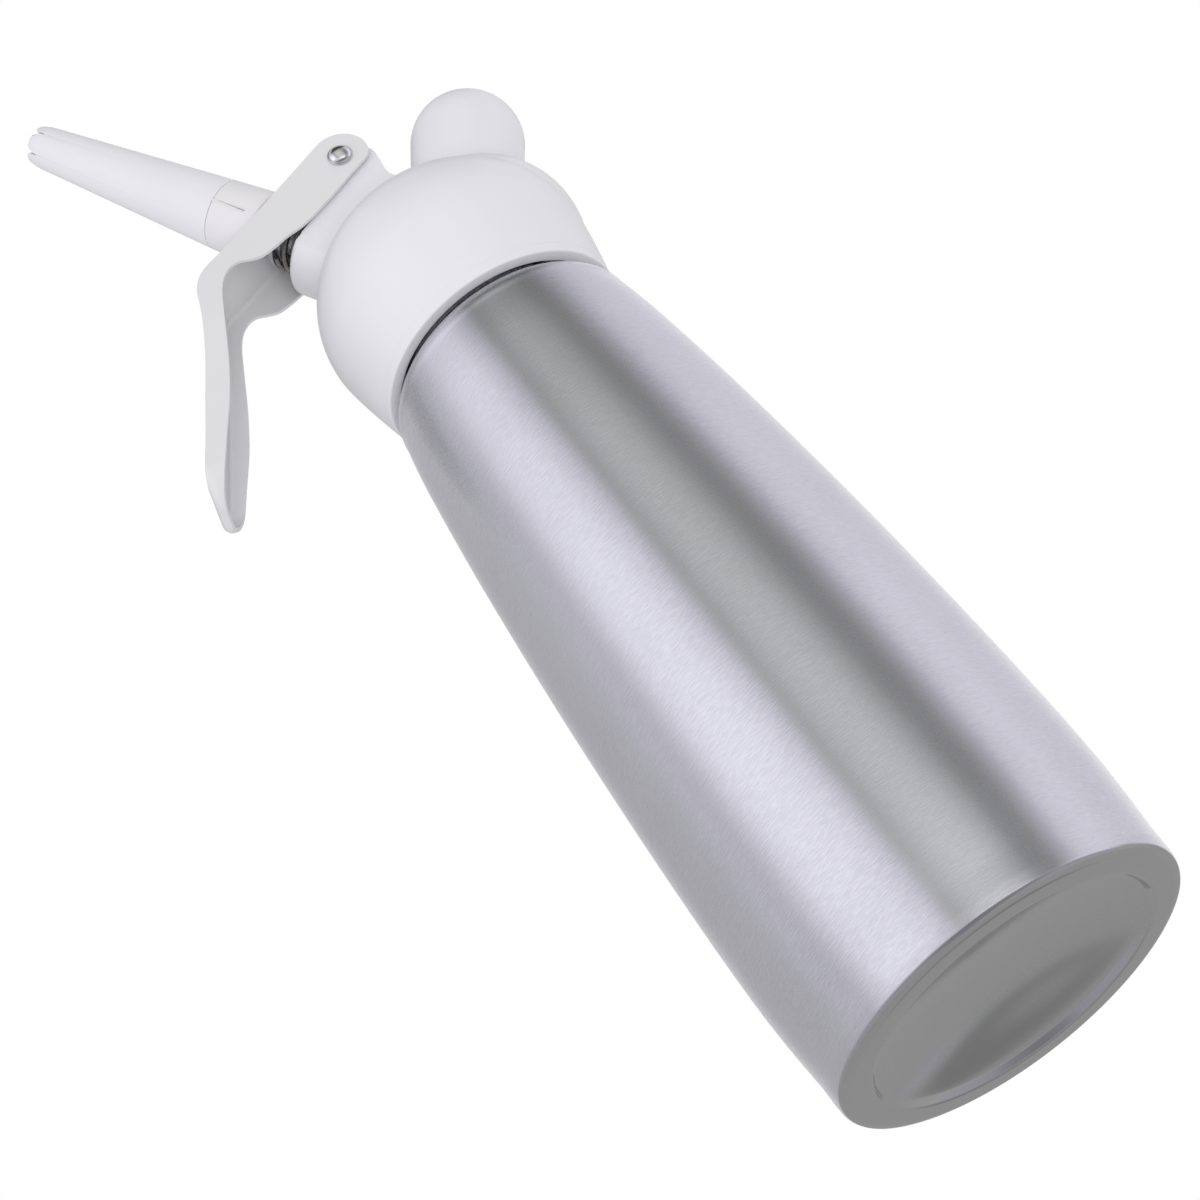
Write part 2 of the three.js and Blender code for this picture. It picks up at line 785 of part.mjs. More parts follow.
function makeAdapter() {
  const stemRoom = stem.radius + fit.thread;
  const spigotHigh = adapter.top + adapter.spigotLength;
  const body = turned([
    [stemRoom, adapter.base],
    [adapter.baseRadius, adapter.base],
    [adapter.topRadius, adapter.top],
    [adapter.spigotRadius, adapter.top],
    [adapter.spigotRadius, spigotHigh],
    [adapter.boreRadius, spigotHigh],
    [adapter.boreRadius, stem.reach + fit.running],
    [stemRoom, stem.reach + fit.running],
  ], sides.medium);
  const { rib } = adapter;
  const outer = adapter.topRadius + rib.height;
  const width = outer - adapter.boreRadius * 2;
  const middle = adapter.top - rib.length / 2 - fit.running;
  const bar = box(rib.width, width, rib.length, 0, outer - width / 2, middle);
  return body.add(bar.rotate([0, 0, -rib.turn])).add(bar.rotate([0, 0, 180 - rib.turn]));
}

const nozzleLow = adapter.top + fit.running;
const ringPocket = nozzleRing.thickness + fit.snug;

// One notch of the tip: a slot with a round root that widens towards the end
function tipNotch(angle) {
  const half = nozzle.notchWidth / 2;
  const root = nozzle.tip - nozzle.notchDepth + half;
  const mouth = half + nozzle.mouthWidening;
  const outline = [
    ...arc(0, root, half, half, 180, 360, 4),
    [half, nozzle.tip - nozzle.mouthDepth],
    [mouth, nozzle.tip],
    [mouth, nozzle.tip + fit.overrun],
    [-mouth, nozzle.tip + fit.overrun],
    [-mouth, nozzle.tip],
    [-half, nozzle.tip - nozzle.mouthDepth],
  ];
  return slab(outline, nozzle.tipRadius).translate([0, nozzle.tipRadius, 0]).rotate([0, 0, angle]);
}

function makeNozzle() {
  const socket = adapter.spigotRadius + fit.thread;
  const socketHigh = adapter.top + adapter.spigotLength + fit.running;
  let solid = turned([
    [nozzleRing.outer + fit.snug, nozzleLow],
    [adapter.topRadius, nozzleLow],
    [nozzle.tipRadius, nozzle.tip],
    [nozzle.tipRadius - nozzle.tipWall, nozzle.tip],
    [nozzle.throatRadius, socketHigh],
    [socket, socketHigh],
    [socket, nozzleLow + ringPocket],
    [nozzleRing.outer + fit.snug, nozzleLow + ringPocket],
  ], sides.medium);
  for (let i = 0; i < nozzle.lobes; i += 1) {
    solid = solid.subtract(tipNotch((360 / nozzle.lobes) * i));
  }
  return solid;
}

function makeNozzleRing() {
  return tube(nozzleRing.outer, nozzleRing.inner, nozzleLow, nozzleLow + nozzleRing.thickness, sides.small);
}

// Charger holder and gas charger, along the holder's own axis

function makeHolder() {
  const low = holder.seat + fit.running;
  const inner = charger.radius + fit.running * 2;
  const innerCentre = chargerBottom + fit.running - inner;
  const spigotLow = low - holder.spigotLength;
  const outerEnd = arc(0, holder.endCentre, holder.endRadius, holder.endRadius, 0, 90, 7).slice(0, -1);
  const innerEnd = arc(0, innerCentre, inner, inner, 90, 0, 5).slice(1);
  return turned([
    [inner, spigotLow],
    [holder.spigotRadius, spigotLow],
    [holder.spigotRadius, low],
    [holder.waistRadius, low],
    [(holder.waistRadius + holder.endRadius) / 2, (low + holder.endCentre) / 2],
    ...outerEnd,
    [0, holder.endCentre + holder.endRadius],
    [0, innerCentre + inner],
    ...innerEnd,
  ], sides.medium);
}

function makeCharger() {
  const { radius, wall, neckRadius, neckLength, shoulderLength } = charger;
  const endCentre = chargerBottom - radius;
  const neckHigh = chargerTip + neckLength;
  const shoulderHigh = neckHigh + shoulderLength;
  const outerEnd = arc(0, endCentre, radius, radius, 0, 90, 5).slice(0, -1);
  const innerEnd = arc(0, endCentre, radius - wall, radius - wall, 90, 0, 4).slice(1);
  return turned([
    [charger.piercingRadius, chargerTip],
    [neckRadius, chargerTip],
    [neckRadius, neckHigh],
    [(radius + neckRadius) / 2, neckHigh + shoulderLength * charger.shoulderShare],
    [radius, shoulderHigh],
    ...outerEnd,
    [0, chargerBottom],
    [0, chargerBottom - wall],
    ...innerEnd,
    [radius - wall, shoulderHigh],
    [neckRadius - wall, neckHigh],
    [neckRadius - wall, chargerTip + wall],
    [charger.piercingRadius, chargerTip + wall],
  ], sides.small);
}

const sealSeat = nippleTop - nipple.mouthDepth;
const tailLow = nippleLow - nipple.tailLength;

function makeNipple() {
  const solid = turned([
    [0, tailLow],
    [nipple.tailRadius, tailLow],
    [nipple.tailRadius, nippleLow],
    [nipple.radius, nippleLow],
    [nipple.radius, nippleTop],
    [charger.neckRadius + fit.running, nippleTop],
    [charger.neckRadius + fit.running, sealSeat],
    [pin.radius + fit.snug, sealSeat],
    [pin.radius + fit.snug, nippleLow + fit.overrun],
    [nipple.boreRadius, nippleLow + fit.overrun],
    [nipple.boreRadius, tailLow + fit.overrun],
    [0, tailLow + fit.overrun],
  ], sides.small);
  const port = tailLow + fit.overrun + nipple.portRadius;
  return solid.subtract(crossRod(nipple.portRadius, nipple.radius, 0, port, sides.tiny / 2));
}

function makeChargerSeal() {
  const radius = charger.neckRadius + fit.snug;
  return tube(radius, chargerSeal.boreRadius, sealSeat + fit.snug, chargerTip - fit.snug, sides.small);
}

function makePiercingPin() {
  const low = nippleLow + fit.overrun + fit.snug;
  const high = chargerTip + pin.rise;
  return turned([
    [0, low],
    [pin.radius, low],
    [pin.radius, high - pin.point],
    [0, high],
  ], sides.tiny);
}

function makeSleeve() {
  const inner = nipple.tailRadius + fit.snug;
  const low = tailLow + sleeve.tipGap;
  return tube(inner + sleeve.wall, inner, low, low + sleeve.length, sides.small);
}

// Assembly

const white = { colour: 0xe7e6ea, roughness: 0.3 };
const coated = { colour: 0xdddde0, roughness: 0.35 };
const metal = { colour: 0xc9cbd2, roughness: 0.32 };
const steel = { colour: 0xb9bcc0, roughness: 0.2 };
const rubber = { colour: 0xd8d9d6, roughness: 0.6 };

const valveGroup = new THREE.Group();
valveGroup.rotation.y = turn(90 - valve.elevation);
valveGroup.position.z = crossing;
valveGroup.add(
  piece('valve_bush', makeValveBush(), metal.colour, metal.roughness, 1),
  piece('stem_o_ring', makeStemRing(), rubber.colour, rubber.roughness, 0),
  piece('valve_stem', makeStem(), steel.colour, steel.roughness, 1),
  piece('valve_seal', makeSeal(), rubber.colour, rubber.roughness, 0),
  piece('seal_nut', makeSealNut(), steel.colour, steel.roughness, 1),
  piece('spring_cap', makeSpringCap(), steel.colour, steel.roughness, 1),
  piece('return_spring', makeSpring(), steel.colour, steel.roughness, 1),
  piece('pivot_bush', makePivotBush(), steel.colour, steel.roughness, 1),
  piece('lever', makeLever(), coated.colour, coated.roughness, 0),
  piece('lever_rivet', makeRivet(), steel.colour, steel.roughness, 1),
  piece('nozzle_adapter', makeAdapter(), white.colour, white.roughness, 0),
  piece('nozzle_gasket', makeNozzleRing(), rubber.colour, rubber.roughness, 0),
  piece('decorator_nozzle', makeNozzle(), white.colour, white.roughness, 0),
);

const holderGroup = new THREE.Group();
holderGroup.rotation.y = turn(holder.elevation - 90);
holderGroup.position.z = crossing;
holderGroup.add(
  piece('charger_holder', makeHolder(), white.colour, white.roughness, 0),
  piece('gas_charger', makeCharger(), steel.colour, steel.roughness, 1),
  piece('charging_nipple', makeNipple(), metal.colour, metal.roughness, 1),
  piece('charger_seal', makeChargerSeal(), rubber.colour, rubber.roughness, 0),
  piece('piercing_pin', makePiercingPin(), steel.colour, steel.roughness, 1),
  piece('check_sleeve', makeSleeve(), rubber.colour, rubber.roughness, 0),
);

const dispenser = new THREE.Group();
dispenser.add(
  piece('bottle', makeBottle(), metal.colour, metal.roughness, 1),
  piece('head_shell', makeShell(), white.colour, white.roughness, 0),
  piece('head_core', makeCore(), metal.colour, metal.roughness, 1),
  piece('head_gasket', makeGasket(), rubber.colour, rubber.roughness, 0),
  valveGroup,
  holderGroup,
);

// The lever's nose reaches furthest forwards and the bottle furthest back: the origin lies under
// the middle of the two, on the surface the bottle stands on
const reach = new THREE.Box3().setFromObject(dispenser, true);
dispenser.position.x = -(reach.min.x + reach.max.x) / 2;

export default dispenser;
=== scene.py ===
"""A whipped cream dispenser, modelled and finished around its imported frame.

Pieces are modelled in millimetres on their own axes, brought to their places in metres, and dressed.
"""
import json
import logging
import math
from contextlib import contextmanager
from dataclasses import dataclass
from enum import Enum
from functools import cache
from typing import Callable, Iterator, Sequence

import bmesh
import bpy
from mathutils import Matrix, Vector
from mathutils.bvhtree import BVHTree

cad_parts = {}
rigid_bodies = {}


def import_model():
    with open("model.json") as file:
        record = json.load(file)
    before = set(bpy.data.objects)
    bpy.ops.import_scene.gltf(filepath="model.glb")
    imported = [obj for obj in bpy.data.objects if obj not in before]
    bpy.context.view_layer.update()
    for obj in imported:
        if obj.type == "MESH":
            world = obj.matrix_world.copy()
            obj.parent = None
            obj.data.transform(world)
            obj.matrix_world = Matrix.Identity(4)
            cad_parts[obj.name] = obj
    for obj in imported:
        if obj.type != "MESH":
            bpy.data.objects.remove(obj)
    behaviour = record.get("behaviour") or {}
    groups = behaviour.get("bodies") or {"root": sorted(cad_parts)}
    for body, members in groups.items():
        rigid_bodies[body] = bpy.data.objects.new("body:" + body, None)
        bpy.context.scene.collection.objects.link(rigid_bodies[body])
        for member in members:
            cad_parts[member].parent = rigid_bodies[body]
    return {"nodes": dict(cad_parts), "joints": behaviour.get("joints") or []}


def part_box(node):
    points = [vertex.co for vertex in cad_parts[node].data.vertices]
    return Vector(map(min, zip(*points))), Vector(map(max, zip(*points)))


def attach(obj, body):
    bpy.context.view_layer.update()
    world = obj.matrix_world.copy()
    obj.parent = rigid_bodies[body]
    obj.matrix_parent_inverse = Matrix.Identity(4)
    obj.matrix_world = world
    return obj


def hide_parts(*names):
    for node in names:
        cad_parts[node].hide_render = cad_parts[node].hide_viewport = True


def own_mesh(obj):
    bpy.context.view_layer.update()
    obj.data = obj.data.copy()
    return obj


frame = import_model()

log = logging.getLogger("dispenser")

MM = 0.001
OVERRUN = 1.0
MERGE = 0.002
NEAR = 0.03
TURN_STEPS = 128
COVER_STEPS = 160
BOTTLE_STEPS = 192
SHARP_DEGREES = 40
SMOOTH_ANGLE = math.radians(32)
FLAT_ANGLE = math.radians(0.3)
EDGE_WEIGHT = "bevel_weight_edge"

Point = tuple[float, float]
Corner = tuple[float, float, float]
Colour = tuple[float, float, float]
Stops = list[tuple[float, Colour]]
Piece = bpy.types.Object
Socket = bpy.types.NodeSocket


class Body(Enum):
    """The bodies of the frame that new pieces ride on."""

    BOTTLE = "bottle"
    HEAD = "head"
    LEVER = "lever"
    VALVE = "valve"
    NOZZLE = "nozzle"
    HOLDER = "holder"


class Slot(Enum):
    """The record's material slots."""

    BRUSHED = "brushed_aluminium"
    TURNED = "turned_aluminium"
    PLASTIC = "white_plastic"
    COATING = "white_coating"
    STEEL = "bright_steel"
    WIRE = "spring_steel"
    RUBBER = "pale_rubber"


class Cut(Enum):
    """What a boolean does with its second solid."""

    JOIN = "UNION"
    REMOVE = "DIFFERENCE"
    KEEP = "INTERSECT"


# Outlines: lists of [across, up] points in millimetres


def arc(centre: Point, radii: Point, start: float, end: float, steps: int) -> list[Point]:
    """Points along an elliptical arc.

    Args:
        centre: the ellipse's centre.
        radii: its half axes.
        start: the first angle in degrees.
        end: the last angle.
        steps: the stretches between points.

    Returns:
        One point more than there are steps.
    """
    angles = [math.radians(start + (end - start) * i / steps) for i in range(steps + 1)]
    return [(centre[0] + radii[0] * math.cos(turn), centre[1] + radii[1] * math.sin(turn)) for turn in angles]


def rounded(corners: Sequence[Corner], steps: int = 6, closed: bool = False) -> list[Point]:
    """An outline whose corners are rounded by arcs.

    Args:
        corners: (across, up, radius) of each corner; a radius of zero stays sharp.
        steps: stretches in each arc.
        closed: whether the last corner joins the first.

    Returns:
        The outline's points.
    """
    count = len(corners)
    points = []
    for i, (x, z, radius) in enumerate(corners):
        if radius <= 0 or not (closed or 0 < i < count - 1):
            points.append((x, z))
            continue
        here = Vector((x, z))
        back = (Vector(corners[i - 1][:2]) - here).normalized()
        ahead = (Vector(corners[(i + 1) % count][:2]) - here).normalized()
        half = back.angle(ahead) / 2
        middle = here + (back + ahead).normalized() * (radius / math.sin(half))
        first = here + back * (radius / math.tan(half)) - middle
        turn = math.pi - 2 * half
        sign = 1 if back.x * ahead.y - back.y * ahead.x < 0 else -1
        for k in range(steps + 1):
            points.append(tuple(middle + Matrix.Rotation(sign * turn * k / steps, 2) @ first))
    return points


def smooth_through(points: Sequence[Point], steps: int) -> list[Point]:
    """A smooth curve through points.

    Args:
        points: the points that it passes through.
        steps: stretches between two of them.

    Returns:
        The curve's points, the last one included.
    """
    curve = []
    last = len(points) - 1
    for i in range(last):
        a, b, c, d = (Vector(points[k]) for k in (max(i - 1, 0), i, i + 1, min(i + 2, last)))
        for k in range(steps):
            t = k / steps
            square = (2 * a - 5 * b + 4 * c - d) * t * t
            cube = (3 * b - a - 3 * c + d) * t * t * t
            curve.append(tuple(b + ((c - a) * t + square + cube) / 2))
    curve.append(tuple(points[last]))
    return curve


def ridges(radius: float, depth: float, pitch: float, ends: Point, steps: int, run_in: int) -> list[Point]:
    """A thread's outside, drawn as even ridges that fade at both ends.

    Args:
        radius: the crests' radius.
        depth: the thread's depth.
        pitch: the height of a ridge.
        ends: the lowest and highest level.
        steps: the stretches between points.
        run_in: the whole length over that of a fading end.

    Returns:
        [radius, height] points from the low end up.
    """
    points = []
    for i in range(steps + 1):
        rise = (ends[1] - ends[0]) * i / steps
        fade = min(1, run_in * i / steps, run_in * (steps - i) / steps)
        hollow = 0.5 - 0.5 * math.sin(math.tau * rise / pitch)
        points.append((radius - depth * fade * hollow, ends[0] + rise))
    return points


# Modelling by hand: primitives, edit mode and applied modifiers


def activate(piece: Piece | None) -> None:
    """Makes a piece the only selected and active one, or deselects all.

    Args:
        piece: the piece, if any.
    """
    for item in bpy.context.view_layer.objects:
        item.select_set(False)
    if piece:
        piece.select_set(True)
        bpy.context.view_layer.objects.active = piece


@contextmanager
def editing(piece: Piece) -> Iterator[bmesh.types.BMesh]:
    """Opens a piece in edit mode with everything selected.

    Args:
        piece: the object to edit.

    Returns:
        Its edit mesh, for selecting in code.
    """
    activate(piece)
    bpy.ops.object.mode_set(mode="EDIT")
    bpy.ops.mesh.select_all(action="SELECT")
    try:
        yield bmesh.from_edit_mesh(piece.data)
    finally:
        bpy.ops.object.mode_set(mode="OBJECT")


def traced(name: str, outline: Sequence[Point], closed: bool) -> Piece:
    """Draws an outline in the XZ plane, one extruded vertex after another.

    Args:
        name: the piece's name.
        outline: its points in millimetres.
        closed: whether the last point is joined to the first.

    Returns:
        The piece, an edge chain.
    """
    activate(None)
    bpy.ops.mesh.primitive_plane_add(size=1, location=(0, 0, 0))
    piece = bpy.context.object
    piece.name = name
    piece.data.name = name
    with editing(piece):
        bpy.ops.mesh.merge(type="CENTER")
        x, z = outline[0]
        bpy.ops.transform.translate(value=(x, 0, z))
        for here, there in zip(outline, [*outline[1:], outline[0]] if closed else outline[1:]):
            step = (there[0] - here[0], 0, there[1] - here[1])
            bpy.ops.mesh.extrude_region_move(TRANSFORM_OT_translate={"value": step})
        bpy.ops.mesh.select_all(action="SELECT")
        bpy.ops.mesh.remove_doubles(threshold=MERGE)
    return piece


def tidy_faces() -> None:
    """In edit mode: merges doubles and turns all faces outwards."""
    bpy.ops.mesh.select_all(action="SELECT")
    bpy.ops.mesh.remove_doubles(threshold=MERGE)
    bpy.ops.mesh.normals_make_consistent(inside=False)


def turned(name: str, profile: Sequence[Point], steps: int = TURN_STEPS) -> Piece:
    """Spins a profile about Z.

    Args:
        name: the piece's name.
        profile: [radius, height] points. It starts and ends on the axis, or closes on itself.
        steps: stretches round the axis.

    Returns:
        The closed solid.
    """
    on_axis = profile[0][0] <= MERGE and profile[-1][0] <= MERGE
    piece = traced(name, profile, closed=not on_axis)
    with editing(piece):
        bpy.ops.mesh.spin(steps=steps, angle=math.tau, center=(0, 0, 0), axis=(0, 0, 1))
        tidy_faces()
    return piece


def slab(name: str, outline: Sequence[Point], half_width: float) -> Piece:
    """A closed XZ outline with a width along Y.

    Args:
        name: the piece's name.
        outline: its points.
        half_width: half of the width.

    Returns:
        The closed solid.
    """
    piece = traced(name, outline, closed=True)
    with editing(piece):
        bpy.ops.mesh.edge_face_add()
        bpy.ops.transform.translate(value=(0, -half_width, 0))
        bpy.ops.mesh.extrude_region_move(TRANSFORM_OT_translate={"value": (0, 2 * half_width, 0)})
        tidy_faces()
    return piece


def apply_modifier(piece: Piece, kind: str, **settings: object) -> None:
    """Adds a modifier to a piece and applies it.

    Args:
        piece: the object.
        kind: the modifier's type.
        settings: its properties.
    """
    activate(piece)
    modifier = piece.modifiers.new(kind.lower(), kind)
    for key, value in settings.items():
        setattr(modifier, key, value)
    bpy.ops.object.modifier_apply(modifier=modifier.name)


def combine(piece: Piece, cut: Cut, *others: Piece) -> Piece:
    """Joins, cuts or crops a piece with other solids, which are used up.

    Args:
        piece: the solid that stays.
        cut: what is done.
        others: the solids that are used.

    Returns:
        The changed piece.
    """
    for other in others:
        apply_modifier(piece, "BOOLEAN", operation=cut.value, solver="MANIFOLD", object=other)
        bpy.data.objects.remove(other)
    return piece


def apply_place(piece: Piece) -> Piece:
    """Applies a piece's place, turn and scale to its mesh.

    Args:
        piece: the object.

    Returns:
        The piece.
    """
    activate(piece)
    bpy.ops.object.transform_apply(location=True, rotation=True, scale=True)
    return piece


def moved(piece: Piece, place: Sequence[float] = (0, 0, 0), turns: Sequence[float] = (0, 0, 0)) -> Piece:
    """Moves and turns a piece's mesh, in its own frame.

    Args:
        piece: the object.
        place: where its origin goes.
        turns: turns about X, Y and Z in degrees.

    Returns:
        The piece, still at its own origin.
    """
    piece.location = place
    piece.rotation_euler = [math.radians(angle) for angle in turns]
    return apply_place(piece)


def rod(radius: float, low: float, high: float) -> Piece:
    """A plain rod along Z, used for cuts."""
    return turned("rod", [(0, low), (radius, low), (radius, high), (0, high)])


def cross_rod(radius: float, half_length: float, x: float, z: float) -> Piece:
    """A plain rod along Y through a point of the XZ plane, used for cuts."""
    return moved(rod(radius, -half_length, half_length), (x, 0, z), (90, 0, 0))


def bevel_edges(piece: Piece, width: float, angle: float = SHARP_DEGREES, segments: int = 3) -> None:
    """Rounds every edge that is sharper than an angle.

    Args:
        piece: the object.
        width: the bevel's width.
        angle: the least angle between faces, in degrees.
        segments: the bevel's segments.
    """
    apply_modifier(
        piece, "BEVEL", width=width, segments=segments, limit_method="ANGLE",
        angle_limit=math.radians(angle), use_clamp_overlap=True,
    )


def bevel_weighted(
        piece: Piece, width: float, segments: int,
        weight: Callable[[Vector, Vector], float]) -> None:
    """Rounds sharp edges, each by its own share of a width.

    Args:
        piece: the object.
        width: the full width.
        segments: the bevel's segments.
        weight: gives the share of an edge between two points.
    """
    mesh = bmesh.new()
    mesh.from_mesh(piece.data)
    mesh.normal_update()
    sharp = {edge.index for edge in mesh.edges if edge.calc_face_angle(0) > math.radians(SHARP_DEGREES)}
    mesh.free()
    attributes = piece.data.attributes
    weights = attributes.get(EDGE_WEIGHT) or attributes.new(EDGE_WEIGHT, "FLOAT", "EDGE")
    for edge in piece.data.edges:
        ends = [piece.data.vertices[i].co for i in edge.vertices]
        weights.data[edge.index].value = weight(*ends) if edge.index in sharp else 0
    apply_modifier(piece, "BEVEL", width=width, segments=segments, limit_method="WEIGHT")


def on_line(spots: Sequence[Vector], line: Sequence[Vector], reach: float) -> bool:
    """Whether points lie on a chain of straight stretches in side view.

    Args:
        spots: the points.
        line: the chain's points.
        reach: how far off they may be.

    Returns:
        True if all of them do.
    """
    for spot in spots:
        gaps = []
        for a, b in zip(line, line[1:]):
            run = b - a
            share = min(max((spot.xz - a).dot(run) / run.length_squared, 0), 1)
            gaps.append((spot.xz - a - run * share).length)
        if min(gaps) >= reach:
            return False
    return True


def copied(piece: Piece, name: str) -> Piece:
    """A copy of a piece with its own mesh.

    Args:
        piece: the object.
        name: the copy's name.

    Returns:
        The copy.
    """
    twin = piece.copy()
    twin.data = piece.data.copy()
    twin.name = name
    bpy.context.scene.collection.objects.link(twin)
    return twin


# The axes that the pieces are turned and built on, taken from the frame


@dataclass(frozen=True)
class Axis:
    """An axis in the XZ plane of the frame.

    Attributes:
        origin: where the axis crosses the bottle's, in metres.
        tilt: its lean from the vertical towards +X, in radians.
    """

    origin: Vector
    tilt: float

    @property
    def direction(self) -> Vector:
        """The axis as a unit vector."""
        return Vector((math.sin(self.tilt), 0, math.cos(self.tilt)))

    def place(self, piece: Piece) -> None:
        """Brings a piece built in millimetres along Z to this axis, in metres.

        Args:
            piece: the object.
        """
        piece.scale = (MM, MM, MM)
        piece.rotation_euler = (0, self.tilt, 0)
        piece.location = self.origin
        apply_place(piece)

    def point(self, across: float, along: float) -> Vector:
        """A point beside the axis.

        Args:
            across: its way off the axis in millimetres, towards +X.
            along: its way along the axis in millimetres.

        Returns:
            The point in metres.
        """
        side = Vector((math.cos(self.tilt), 0, -math.sin(self.tilt)))
        return self.origin + (side * across + self.direction * along) * MM

    def tilted(self, piece: Piece) -> Piece:
        """Tilts a solid built along Z to this axis, over the bottle's own axis in millimetres."""
        return moved(piece, (0, 0, CROSSING), (0, math.degrees(self.tilt), 0))


def joint_axis(name: str, upright: Axis) -> Axis:
    """The axis of a screw joint.

    Args:
        name: the joint's name.
        upright: the bottle's axis, which this one crosses.

    Returns:
        The joint's axis, with its origin on the bottle's axis.
    """
    joint = next(item for item in frame["joints"] if item["name"] == name)
    pos = Vector(joint["pos_m"])
    lean = Vector(joint["axis"])
    return Axis(pos - lean * ((pos.x - upright.origin.x) / lean.x), math.atan2(lean.x, lean.z))


BOTTLE_LOW, BOTTLE_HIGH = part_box("bottle")
UPRIGHT = Axis(Vector(((BOTTLE_LOW.x + BOTTLE_HIGH.x) / 2, 0, 0)), 0)
VALVE_AXIS = joint_axis("nozzle_unscrew", UPRIGHT)
HOLDER_AXIS = joint_axis("holder_unscrew", UPRIGHT)
CROSSING = VALVE_AXIS.origin.z / MM  # the height where both screw axes cross the bottle's
PIVOT = (-19.5, 44)  # the rivet's centre in the valve's frame


# Finishes


class Nodes:
    """A short hand for building the nodes of a material or a world."""

    def __init__(self, owner: bpy.types.Material | bpy.types.World) -> None:
        """Opens the owner's nodes.

        Args:
            owner: the material or world.
        """
        owner.use_nodes = True
        self.tree = owner.node_tree

    def feed(self, target: Socket, value: object) -> None:
        """Links an input to a socket, or sets it to a plain value.

        Args:
            target: the input.
            value: the socket or value.
        """
        if isinstance(value, Socket):
            self.tree.links.new(value, target)
        else:
            target.default_value = value

    def fill(self, node: bpy.types.Node, **inputs: object) -> bpy.types.Node:
        """Links or sets a node's inputs.

        Args:
            node: the node.
            inputs: sockets or values, named in words joined by underscores.

        Returns:
            The node.
        """
        for key, value in inputs.items():
            self.feed(node.inputs[key.replace("_", " ").title().replace("Ior", "IOR")], value)
        return node

    def add(self, kind: str, settings: dict[str, object] | None = None, **inputs: object) -> bpy.types.Node:
        """Adds a node.

        Args:
            kind: the node's type, without its ShaderNode prefix.
            settings: its properties.
            inputs: its inputs, as in fill.

        Returns:
            The node.
        """
        node = self.tree.nodes.new("ShaderNode" + kind)
        for key, value in (settings or {}).items():
            setattr(node, key, value)
        return self.fill(node, **inputs)

    def maths(self, operation: str, *values: object) -> Socket:
        """The result of an operation on sockets or numbers.

        Args:
            operation: the operation.
            values: its operands.

        Returns:
            The result socket.
        """
        node = self.add("Math", {"operation": operation})
        for target, value in zip(node.inputs, values):
            self.feed(target, value)
        return node.outputs["Value"]

    def noise(self, scale: Sequence[float], detail: float = 2, rough: float = 0.5) -> Socket:
        """A noise centred on the bottle's axis, with its own scale along each axis.

        Args:
            scale: the noise's repeats in a metre along X, Y and Z.
            detail: the number of finer layers.
            rough: how strong the finer layers are.

        Returns:
            The factor socket.
        """
        place = self.add(
            "Mapping", scale=scale, location=[-c * s for c, s in zip(UPRIGHT.origin, scale)],
            vector=self.add("TexCoord").outputs["Object"],
        )
        noise = self.add("TexNoise", scale=1, detail=detail, roughness=rough, vector=place.outputs["Vector"])
        return noise.outputs["Fac"]

    def ranged(self, source: Socket, low: float, high: float, window: Point = (0.3, 0.7)) -> Socket:
        """Maps a factor's window to a range.

        Args:
            source: the factor.
            low: the value at the window's low end.
            high: the value at its high end.
            window: the factor's low and high end.

        Returns:
            The result socket.
        """
        node = self.add(
            "MapRange", from_min=window[0], from_max=window[1], to_min=low, to_max=high, value=source)
        return node.outputs["Result"]

    def mixed(self, factor: Socket, first: Socket | Colour, second: Socket | Colour) -> Socket:
        """Mixes two colours by a factor.

        Args:
            factor: the factor.
            first: the colour at zero.
            second: the colour at one.

        Returns:
            The colour socket.
        """
        first, second = (side if isinstance(side, Socket) else (*side, 1) for side in (first, second))
        return self.add("Mix", {"data_type": "RGBA"}, factor=factor, a=first, b=second).outputs["Result"]

    def bump(self, height: Socket, strength: float, depth: float) -> Socket:
        """A bump's normal, from a height's factor, a strength and a depth in metres."""
        return self.add("Bump", strength=strength, distance=depth, height=height).outputs["Normal"]


def toned(level: float, tint: Colour) -> Colour:
    """A tint at a brightness."""
    return tuple(level * part for part in tint)


@dataclass(frozen=True)
class Finish:
    """What all finishes have.

    Attributes:
        name: the material's name.
        slot: the record's slot; not used.
        light: the lighter tint.
        dark: the darker tint.
        smooth: the least roughness.
        rough: the largest roughness.
        depth: the relief's depth in metres.
    """

    name: str
    slot: Slot
    light: Colour
    dark: Colour
    smooth: float
    rough: float
    depth: float


@dataclass(frozen=True)
class Brushed(Finish):
    """Metal brushed or turned round the bottle's axis.

    Attributes:
        stretch: how far reflections draw out across the brushing.
        grain: streaks in a metre round the axis and along it.
    """

    stretch: float
    grain: Point

    def fill(self, nodes: Nodes) -> dict[str, object]:
        """The shader's inputs.

        Args:
            nodes: the material's nodes.

        Returns:
            The inputs by name.
        """
        around, along = self.grain
        streaks = nodes.noise((around, around, along), detail=3, rough=0.6)
        shares = nodes.maths("MULTIPLY_ADD", nodes.noise((45, 45, 70)), 0.5, nodes.ranged(streaks, 0, 0.5))
        return {
            "base_color": nodes.mixed(shares, self.dark, self.light),
            "roughness": nodes.ranged(streaks, self.rough, self.smooth),
            "normal": nodes.bump(streaks, 0.4, self.depth),
            "metallic": 1, "anisotropic": self.stretch, "anisotropic_rotation": 0.25,
            "tangent": nodes.add("Tangent", {"direction_type": "RADIAL", "axis": "Z"}).outputs["Tangent"],
        }


